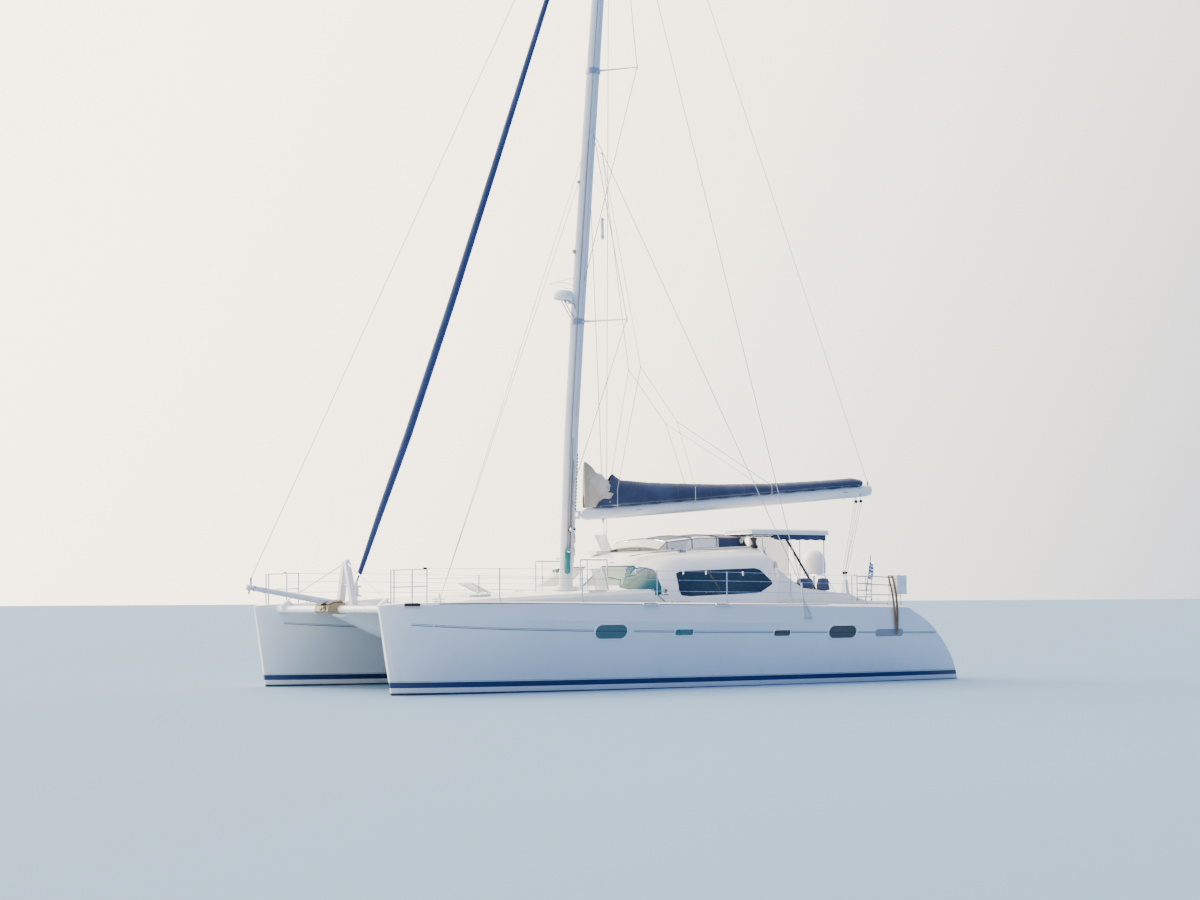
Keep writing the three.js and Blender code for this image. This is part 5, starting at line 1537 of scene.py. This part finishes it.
deckSettings = {
    "cleats": ((6.15, 3.03), (0.72, 3.62), (-5.42, 3.60)), "cleatFoot": [(0.017, 0.0), (0.012, 0.02), (0.011, 0.045)],
    "cleatHorn": ((-0.15, 0.040, 0.007), (-0.10, 0.049, 0.010), (-0.05, 0.052, 0.012), (0.05, 0.052, 0.012),
                  (0.10, 0.049, 0.010),
                  (0.15, 0.040, 0.007)),
    "handrailY": 1.80, "handrailXs": (-0.98, -1.3, -1.7, -2.1, -2.5, -2.78),
    "clutch": (-0.86, 1.80), "lineGap": 0.045, "lineFinishes": ("darkRope", "whiteRope", "blueRope"),
    "lineRoute": ((0.30, 0.62), (0.0, 1.05), (-0.35, 1.52), (-0.62, 1.76), (-0.86, 1.80), (-1.3, 1.74), (-1.8, 1.74),
                  (-2.3, 1.73),
                  (-2.8, 1.68), (-3.02, 1.62)),
    # x, y and radius of the round filler plates
    "plates": ((-4.20, 3.15, 0.062), (-0.15, 3.2, 0.05)),
}


def makeDeckGear(s):
    piece = Piece("deck_fittings", "steel")
    for side in (1, -1):
        for x, y in s["cleats"]:
            spot = deckAt(x, side * y, 0.001)
            for dx in (-0.05, 0.05):
                piece.turned(s["cleatFoot"], spot + Vector((dx, 0, 0)), sides=12)
            piece.tube([spot + Vector((dx, 0, dz)) for dx, dz, _ in s["cleatHorn"]],
                       [radius for _, _, radius in s["cleatHorn"]], 10)
            piece.block(spot + upBy(0.002), (0.17, 0.048, 0.008), None, 0.003)
    for side in (1, -1):
        route = [castOn(("deckhouse",), (x, side * s["handrailY"], 8), (0, 0, -1))[0] for x in s["handrailXs"]]
        ends = [route[0] + Vector((0.05, 0, -0.006)), route[-1] + Vector((-0.05, 0, -0.006))]
        piece.tube(ends[:1] + curve([p + upBy(0.062) for p in route], 5) + ends[1:], 0.0125, 10)
        for p in route[1:-1:2]:
            piece.rod(p - upBy(0.006), p + upBy(0.062), 0.009, 10)
            piece.turned([(0.026, 0), (0.026, 0.006), (0.012, 0.012)], p, sides=14)
    for x, y, drum in ((-3.16, 1.45, "blackMetal"), (-3.16, 1.02, "steel")):
        winch(piece, deckAt(x, y, 0, ("helm_console", "deckhouse")), (0, 0, 1), 1.75, drum)
    for side in (1, -1):
        winch(piece, deckAt(-3.05, side * 1.95, 0, ("deckhouse", "cockpit")), (0, 0, 1), 1.5)
    clutch = deckAt(*s["clutch"], 0.001, ("deckhouse",))
    for k in range(3):
        piece.paint("blackPlastic").block(clutch + Vector((0, -s["lineGap"] * k, 0.026)), (0.17, 0.036, 0.052), None,
                                          0.010, 2)
        piece.block(clutch + Vector((0.055, -s["lineGap"] * k, 0.062)), (0.11, 0.022, 0.016),
                    Matrix.Rotation(0.35, 3, "Y"), 0.006, 2)
    for k, finish in enumerate(s["lineFinishes"]):
        route = [deckAt(x, y - s["lineGap"] * k, 0.011, ("deckhouse", "helm_console", "foredeck")) for x,
                 y in s["lineRoute"]]
        piece.paint(finish).tube([p + upBy(0.018 if 3 <= i <= 5 else 0) for i, p in enumerate(route)], 0.006, 7)
    piece.paint("steel")
    for side in (1, -1):
        for x, y, radius in s["plates"]:
            piece.turned([(radius, 0), (radius, 0.004), (radius - 0.014, 0.006), (0.0, 0.006)], deckAt(x, side * y),
                         sides=24)
    piece.finished(sharp=40)
    tracks = Piece("sheet_tracks", "blackMetal")
    for side in (1, -1):
        route = [deckAt(x, side * trackSettings["y"]) for x in trackSettings["xs"]]
        route = [p for p in route if p.z < trackSettings["highest"]]
        if len(route) < 2:
            continue
        tracks.paint("blackMetal").tube([p + upBy(0.010) for p in route], 0.016, 4, flat=0.7)
        middle = (route[0] + route[-1]) / 2 + upBy(0.034)
        tracks.paint("greyMetal").block(middle, (0.15, 0.05, 0.03), None, 0.008, 2)
        blockPulley(tracks, middle + upBy(0.085), 0.075, (0, 1, 0), (0, 0, -1))
    tracks.finished(sharp=40)


makeDeckGear(deckSettings)


# Clips on the upper lifeline beside the saloon

clips = []
for x in (2.62, 1.78, 0.55, -0.05, -1.05, -1.72, -2.05):
    for k in range(60):
        hit = castOn(("rails_port",), (x, 5.0, sheerZ(x) + 0.76 - 0.003 * k), (0, -1, 0))
        if hit:
            clips.append(hit[0] + Vector((0, 0.004, -0.022)))
            break
repeat("lifeline_clips", "block", clips, "whitePlastic", {"Wide": 0.022, "High": 0.028, "Long": 0.085})
print("repeats and deck fittings done:", len(bases), len(clips))


# Trampolines: net sheets with a hem, laced to rails on all sides

netSettings = {"inner": 0.43, "outer": 2.41, "z": 1.779, "across": 26, "along": 30}


def makeTrampoline(s, side):
    label = sideWord(side)
    node = nodes["trampoline_" + label]
    xs = [v.co.x for v in node.data.vertices]
    front, back = max(xs) - 0.012, min(xs) + 0.012
    piece = Piece("trampoline_net_" + label, "net")
    rows = []
    uCount, vCount = s["along"], s["across"]
    for i in range(uCount + 1):
        x = back + (front - back) * i / uCount
        inner = s["inner"]
        while not castOn((node.name,), (x, side * inner, 1.9), (0, 0, -1)) and inner < 1.5:
            inner += 0.02
        outer = s["outer"]
        while not castOn((node.name,), (x, side * outer, 1.9), (0, 0, -1)) and outer > 1.5:
            outer -= 0.02
        rows.append([Vector((x, side * (inner + (outer - inner) * j / vCount),
                             s["z"] + 0.002 * math.sin(5 * x) * math.sin(4 * j)))
                     for j in range(vCount + 1)])
    grid = [[piece.mesh.verts.new(p) for p in row] for row in rows]
    for i in range(uCount):
        for j in range(vCount):
            piece.face((grid[i][j], grid[i][j + 1], grid[i + 1][j + 1], grid[i + 1][j]))
    net = piece.finished(thick=0.004)
    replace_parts(net, node.name)
    edge = rows[0] + [row[-1] for row in rows[1:-1]] + rows[-1][::-1] + [row[0] for row in rows[-2:0:-1]]
    middle = rows[uCount // 2][vCount // 2]
    hem = Piece("trampoline_hem_" + label, "blackPlastic")
    hem.tube([p + (middle - p).normalized() * 0.02 for p in edge], 0.012, 6, loop=True, flat=0.5)
    hemMade = hem.finished()
    path = [p + (middle - p).normalized() * 0.004 + upBy(0.004) for p in edge + edge[:1]]
    lacing = repeat("trampoline_lacing_" + label, "blockRow", path, "whiteRope",
                    {"Wide": 0.05, "High": 0.008, "Long": 0.010, "Gap": 0.11})


for side in (1, -1):
    makeTrampoline(netSettings, side)
print("trampolines done")


# Cushions: crowned pads with channels and piping, by code

def cushion(name, middle, size, finish, turn=None, channels=(), flatBelow=True, pull=0.035):
    turn = turn or Matrix.Identity(3)
    long, wide, high = size
    piece = Piece(name, finish)
    steps = 44

    def spot(u, v, upward):
        edge = (1 - abs(u) ** 7) ** 0.36 * (1 - abs(v) ** 7) ** 0.36
        x = u * long / 2 * (1 - pull * 0.25 * (1 - v * v))
        y = v * wide / 2 * (1 - pull * (1 - u * u))
        crown = 0.80 + 0.20 * (1 - u * u) * (1 - v * v)
        dent = sum(0.16 * math.exp(-((u * long / 2 - c) / 0.014) ** 2) for c in channels)
        ripple = 0.012 * math.sin(23 * u + 5 * v) * math.sin(17 * v - 3 * u)
        if upward:
            z = high * (0.5 * edge * (crown - dent + ripple))
        else:
            z = -high * 0.5 * edge * (0.86 if flatBelow else crown - dent)
        return Vector(middle) + turn @ Vector((x, y, z))

    def even(k):
        return math.sin(math.pi / 2 * (2 * k / steps - 1))

    for upward in (True, False):
        grid = [[piece.mesh.verts.new(spot(even(i), even(j), upward)) for j in range(steps + 1)]
                for i in range(steps + 1)]
        for i in range(steps):
            for j in range(steps):
                quad = (grid[i][j], grid[i + 1][j], grid[i + 1][j + 1], grid[i][j + 1])
                piece.face(quad if upward else quad[::-1])
    bmesh.ops.remove_doubles(piece.mesh, verts=piece.mesh.verts, dist=0.00005)
    rim = [spot(even(i), -1, True) for i in range(steps)] + [spot(1, even(j), True) for j in range(steps)]
    rim += [spot(even(steps - i), 1, True) for i in range(steps)] + [spot(-1, even(steps - j), True)
                                                                     for j in range(steps)]
    pad = piece.finished(sharp=60)
    piping = Piece(name + "_piping", finish)
    piping.tube([p for i, p in enumerate(rim) if i == 0 or (p - rim[i - 1]).length > 0.0005], 0.0055, 6, loop=True)
    piping.finished()


def makeCushions():
    seat = Piece("helm_seat_base", "gelcoat")
    seat.block((-4.50, 1.22, 1.803), (0.48, 0.90, 0.012), None, 0.004)
    seat.block((-4.772, 1.22, 2.04), (0.014, 0.90, 0.50), None, 0.004)
    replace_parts(seat.finished(), "helm_seat")
    cushion("helm_seat_pad", (-4.505, 1.22, 1.846), (0.47, 0.90, 0.072), "cushionCloth", channels=(0.0,))
    cushion("helm_back_pad", (-4.735, 1.22, 2.10), (0.37, 0.88, 0.056), "cushionCloth",
            Matrix.Rotation(math.radians(-90), 3, "Y"),
            flatBelow=False)
    for k, y in enumerate((-1.25, 0.0, 1.25)):
        cushion(f"aft_bench_pad_{k + 1}", (-5.885, y, 1.774), (0.46, 1.22, 0.085), "cushionCloth", channels=(0.0,))
    for k, x in enumerate((-5.32, -4.60)):
        cushion(f"side_bench_pad_{k + 1}", (x, -1.72, 1.774), (0.68, 0.62, 0.085), "cushionCloth", channels=(0.0,))
    for k, y in enumerate((-1.0, 0.0, 1.0)):
        cushion(f"saloon_pad_{k + 1}", (0.10, y, 1.648), (0.36, 0.96, 0.09), "saloonCloth")


makeCushions()


# Rolled cover on the console's edge, bags at the mast foot and on the coaming

rollSettings = {
    "path": [(-3.09, 1.655, 2.728), (-3.28, 1.660, 2.722), (-3.44, 1.668, 2.718), (-3.565, 1.676, 2.690),
             (-3.615, 1.690, 2.600)],
    "radius": 0.078, "ties": (14, 34),
}


def makeRoll(s):
    piece = Piece("rolled_cover", "creamCloth")
    path = curve(s["path"], 12)
    rings = []
    for i, p in enumerate(path):
        ahead = (path[min(i + 1, len(path) - 1)] - path[max(i - 1, 0)]).normalized()
        side = ahead.cross(Vector((0, 0, 1))).normalized()
        upward = side.cross(ahead)
        ring = []
        for t in angles(32):
            radius = s["radius"] * (1 + 0.10 * math.sin(3 * t + 0.30 * i) + 0.05 * math.sin(7 * t - 0.5 * i) + 0.07
                                    * math.sin(0.9 * i))
            radius *= 0.80 if i in (0, len(path) - 1) else 1.0
            ring.append(p + side * radius * math.cos(t) + upward * radius * math.sin(t))
        rings.append(ring)
    piece.loft(rings)
    roll = piece.finished(sharp=70)
    ties = Piece("rolled_cover_ties", "navyTrim")
    for i in s["ties"]:
        ties.tube([p + (p - path[i]).normalized() * 0.002 for p in rings[i]], 0.008, 6, loop=True, flat=0.4)
    ties.finished()


makeRoll(rollSettings)


def makeBag(name, middle, size, finish):
    piece = Piece(name, finish)
    rings = []
    for i in range(19):
        t = i / 18
        fat = (1 - (2 * t - 1) ** 6) ** 0.30 if 0 < t < 1 else 0.12
        fat *= 1.0 - 0.22 * t
        z = -size[2] / 2 + size[2] * t
        ring = []
        for a in angles(36):
            fold = 1 + 0.06 * math.sin(5 * a + 9 * t) + 0.035 * math.sin(11 * a - 14 * t)
            ring.append(Vector(middle) + Vector((size[0] / 2 * math.cos(a) * fat * fold,
                                                 size[1] / 2 * math.sin(a) * fat * fold, z)))
        rings.append(ring)
    piece.loft(rings)
    piece.finished(sharp=70)


makeBag("mast_bag_teal", onMast(2.78, 55, 0.060)[0], (0.15, 0.13, 0.60), "tealCloth")
for bagName, bagX, bagLong, bagHigh in (("coaming_bag_long", -4.00, 0.52, 0.25),
                                        ("coaming_bag_small", -4.55, 0.36, 0.31)):
    makeBag(bagName, (bagX, 2.28, deckAt(bagX, 2.28).z + bagHigh / 2 + 0.004), (bagLong, 0.24, bagHigh), "navyTrim")
makeBag("mast_bag_brown", (0.62, 0.40, deckAt(0.62, 0.40).z + 0.105), (0.42, 0.30, 0.19), "brownCloth")


# Bow: cap, shackle and bands on the sprit, hood and roller at the walkway's end, striker pad, lights

bowSettings = {
    # the sprit's cap, its way ahead, and how far back its two bands are
    "tip": (9.013, 0, 2.205), "ahead": (2.313, 0, 0.393), "bands": (0.16, 0.40),
    "shackle": ((0.028, -0.055), (0.032, -0.10), (0.0, -0.135), (-0.032, -0.10), (-0.028, -0.055)),
    "hoodX": 6.93, "hoodLong": 0.36, "hoodZ": 1.866, "roller": (7.312, 0.16, 1.745),
    "padFrom": (6.69, 0.34, 1.80), "padTo": (6.72, 0.0, 2.745),
    "padRadii": [0.05, 0.062, 0.066, 0.067, 0.067, 0.067, 0.067, 0.067, 0.066, 0.062, 0.05],
    "lenses": ((1, "redLens"), (-1, "greenLens")),
}


def makeBowGear(s):
    piece = Piece("bow_fittings", "whitePlastic")
    tip, ahead = Vector(s["tip"]), Vector(s["ahead"]).normalized()
    piece.turned([(0.054, -0.06), (0.060, -0.055), (0.060, 0.0), (0.050, 0.016), (0.0, 0.022)], tip, ahead, 24)
    shackle = [tip + ahead * -0.05 + Vector((0, y, z)) for y, z in s["shackle"]]
    piece.paint("blackMetal").tube(curve(shackle, 5), 0.010, 8)
    pin = [tip - ahead * 0.05 + Vector((0, y, -0.062)) for y in (-0.04, 0.04)]
    piece.rod(*pin, 0.008, 8)
    for back in s["bands"]:
        piece.paint("steel").turned([(0.066, -0.02), (0.068, 0.0), (0.066, 0.02)], tip - ahead * back, ahead, 24)
    rings = []
    for i in range(13):
        t = i / 12
        x = s["hoodX"] + s["hoodLong"] * t
        z = s["hoodZ"] - 0.055 * max(0.0, t - 0.55) * 2.2
        rings.append([Vector((x, 0.30 * math.cos(a), z + 0.075 * math.sin(a) * (1 - 0.35 * t)))
                      for a in (math.pi * k / 16 for k in range(17))])
    piece.paint("blackPlastic").loft(rings, closed=False)
    wheel = [(0.05, -0.012), (0.062, -0.008), (0.062, 0.008), (0.050, 0.012), (0.034, 0.004), (0.0, 0.004)]
    piece.paint("blackMetal").turned(wheel, s["roller"], (1, 0, 0), 24)
    for side in (1, -1):
        foot = deckAt(6.78, side * 0.34, 0.0, ("bow_walkway",))
        piece.paint("steel").block(foot + upBy(0.006), (0.15, 0.10, 0.012), None, 0.004)
    piece.finished(sharp=40)
    pad = Piece("striker_pad", "whitePlastic")
    a, b = Vector(s["padFrom"]), Vector(s["padTo"])
    pad.tube([a.lerp(b, 0.22 + 0.28 * k / 10) for k in range(11)], s["padRadii"], 18)
    pad.finished(sharp=50)
    lights = Piece("bow_lights", "blackPlastic")
    for side, lens in s["lenses"]:
        rail = ("rails_" + sideWord(side),)
        hit = (castOn(rail, (6.9, side * 2.95, 3.2), (0, 0, -1))
               or castOn(rail, (6.6, side * 6, sheerZ(6.6) + 0.66), (0, -side, 0)))
        if hit:
            lights.paint("blackPlastic").block(hit[0] + upBy(0.02), (0.06, 0.05, 0.045), None, 0.008, 2)
            case = [(0.022, -0.018), (0.024, 0.0), (0.022, 0.018)]
            lights.paint(lens).turned(case, hit[0] + Vector((0.026, 0, 0.022)), (0, 0, 1), 14)
    lights.finished(sharp=40)


makeBowGear(bowSettings)


# Helm: instruments, compass, throttle; dark sleeve on the roof's strut. Stern: eyes, steps, chocks, plates, latch

helmSettings = {
    "panel": (-3.26, 1.22), "lean": 28, "compass": (-3.36, 0.93), "lever": (-3.38, 1.58),
    "sleeveFrom": (-4.0, 1.54, 3.39), "sleeveTo": (-4.56, 2.06, 2.03),
}


def makeHelmGear(s):
    piece = Piece("helm_instruments", "blackPlastic")
    onConsole = ("helm_console",)
    top = deckAt(*s["panel"], 0, onConsole)
    lean = Matrix.Rotation(math.radians(s["lean"]), 3, "Y")
    piece.block(top + upBy(0.085), (0.05, 0.62, 0.19), lean, 0.014, 3)
    for k in range(3):
        spot = top + Vector((-0.030, -0.19 + 0.19 * k, 0.088))
        piece.paint("darkGlass").block(spot, (0.006, 0.15, 0.11), lean, 0.006, 2)
        piece.paint("blackPlastic")
    compass = deckAt(*s["compass"], 0, onConsole)
    piece.turned([(0.065, 0), (0.070, 0.01), (0.062, 0.03)], compass, sides=24)
    piece.paint("clearLens").turned([(0.060, 0.028), (0.055, 0.05), (0.036, 0.070), (0.0, 0.078)], compass, sides=24)
    lever = deckAt(*s["lever"], 0, onConsole)
    piece.paint("steel").block(lever + upBy(0.02), (0.11, 0.07, 0.04), None, 0.012, 2)
    knob = [(0.010, 0.0), (0.018, 0.012), (0.018, 0.028), (0.0, 0.038)]
    for dy in (-0.024, 0.024):
        piece.rod(lever + Vector((0, dy, 0.02)), lever + Vector((-0.05, dy, 0.17)), 0.007, 10)
        piece.paint("blackPlastic").turned(knob, lever + Vector((-0.05, dy, 0.165)), (-0.3, 0, 1), 14)
        piece.paint("steel")
    piece.finished(sharp=40)
    sleeve = Piece("strut_sleeve", "blackPlastic")
    a, b = Vector(s["sleeveFrom"]), Vector(s["sleeveTo"])
    sleeve.tube([a.lerp(b, 0.03 + 0.92 * k / 20) for k in range(21)], 0.028, 12)
    sleeve.finished(sharp=50)


makeHelmGear(helmSettings)

sternSettings = {
    "eye": (-5.14, 3.50), "stepX": -6.2, "stepGap": 0.42, "stepY": 3.0, "chock": (-5.86, 3.55),
    "plate": (-5.15, 1.115, 0.84, 0.17), "latchX": -5.53, "latchYs": (3.80, 3.62),
}


def makeSternGear(s):
    stern = Piece("stern_fittings", "steel")
    for side in (1, -1):
        spot = deckAt(s["eye"][0], side * s["eye"][1])
        stern.paint("steel").turned([(0.035, 0), (0.035, 0.006), (0.013, 0.012), (0.012, 0.07)], spot, sides=16)
        stern.tube([spot + Vector((0.03 * math.cos(a), 0, 0.098 + 0.03 * math.sin(a))) for a in angles(20)], 0.006,
                   8, loop=True)
        for k in range(3):
            step = deckAt(s["stepX"] - s["stepGap"] * k, side * s["stepY"], 0.003, ("hull_" + sideWord(side),))
            stern.paint("walkway").block(step + upBy(0.002), (0.16, 0.46, 0.008), None, 0.002)
        chock = deckAt(s["chock"][0], side * s["chock"][1])
        stern.paint("greyMetal").block(chock + upBy(0.012), (0.30, 0.10, 0.024), None, 0.008, 2)
        for dx in (-0.09, 0.09):
            horn = [(0.030, 0), (0.034, 0.035), (0.042, 0.05), (0.0, 0.056)]
            stern.turned(horn, chock + Vector((dx, 0, 0.02)), sides=18)
        x, z, long, high = s["plate"]
        outline = roundOutline(long, high, 0.7)
        ring = [skinAt(x + u, z + v, side, True, 0.004)[0] for u, v in outline]
        low = [skinAt(x + u * 0.96, z + v * 0.86, side, True, 0.006)[0] for u, v in outline]
        stern.paint("greyPlastic").loft([ring, low])
    stern.finished(sharp=40)
    latch = Piece("case_latch", "steel")
    for y in s["latchYs"]:
        hit = castOn(("stern_case",), (s["latchX"], y, 2.8), (0, 0, -1))
        if hit:
            latch.block(hit[0] + upBy(0.004), (0.05, 0.03, 0.008), None, 0.003)
    latch.finished(sharp=40)


makeSternGear(sternSettings)


# Brown rope hank over the quarter rail, one rope in loops

hankSettings = {
    "loops": 5, "radius": 0.011, "perLoop": 40, "along": -5.335, "topHalf": 0.085, "lowHalf": 0.030,
    "drape": [(3.775, 2.415), (3.815, 2.33), (3.90, 2.05), (3.955, 1.70), (3.975, 1.36), (3.955, 1.06)],
}


def makeHank(s):
    drape = curve([(0.0, y, z) for y, z in s["drape"]], 8)
    path = []
    for i in range(s["loops"] * s["perLoop"]):
        turn = 2 * math.pi * i / s["perLoop"]
        loop = i / s["perLoop"]
        depth = (0.5 - 0.5 * math.cos(turn)) * (1 - 0.035 * loop)
        at = depth * (len(drape) - 1)
        below = min(int(at), len(drape) - 2)
        spot = drape[below].lerp(drape[below + 1], at - below)
        half = s["topHalf"] + (s["lowHalf"] - s["topHalf"]) * depth
        across = math.copysign(abs(math.sin(turn)) ** 0.4, math.sin(turn)) * half
        path.append(Vector((s["along"] + across + 0.009 * loop,
                            spot.y + 0.006 * math.sin(2.1 * loop) + 0.004 * math.sin(turn), spot.z)))
    path = curve(path, 2)
    piece = Piece("rope_hank", "brownRope")
    piece.tube(path, s["radius"], 8)
    hank = piece.finished(sharp=60)


makeHank(hankSettings)
print("cushions, bow, helm and stern gear done")
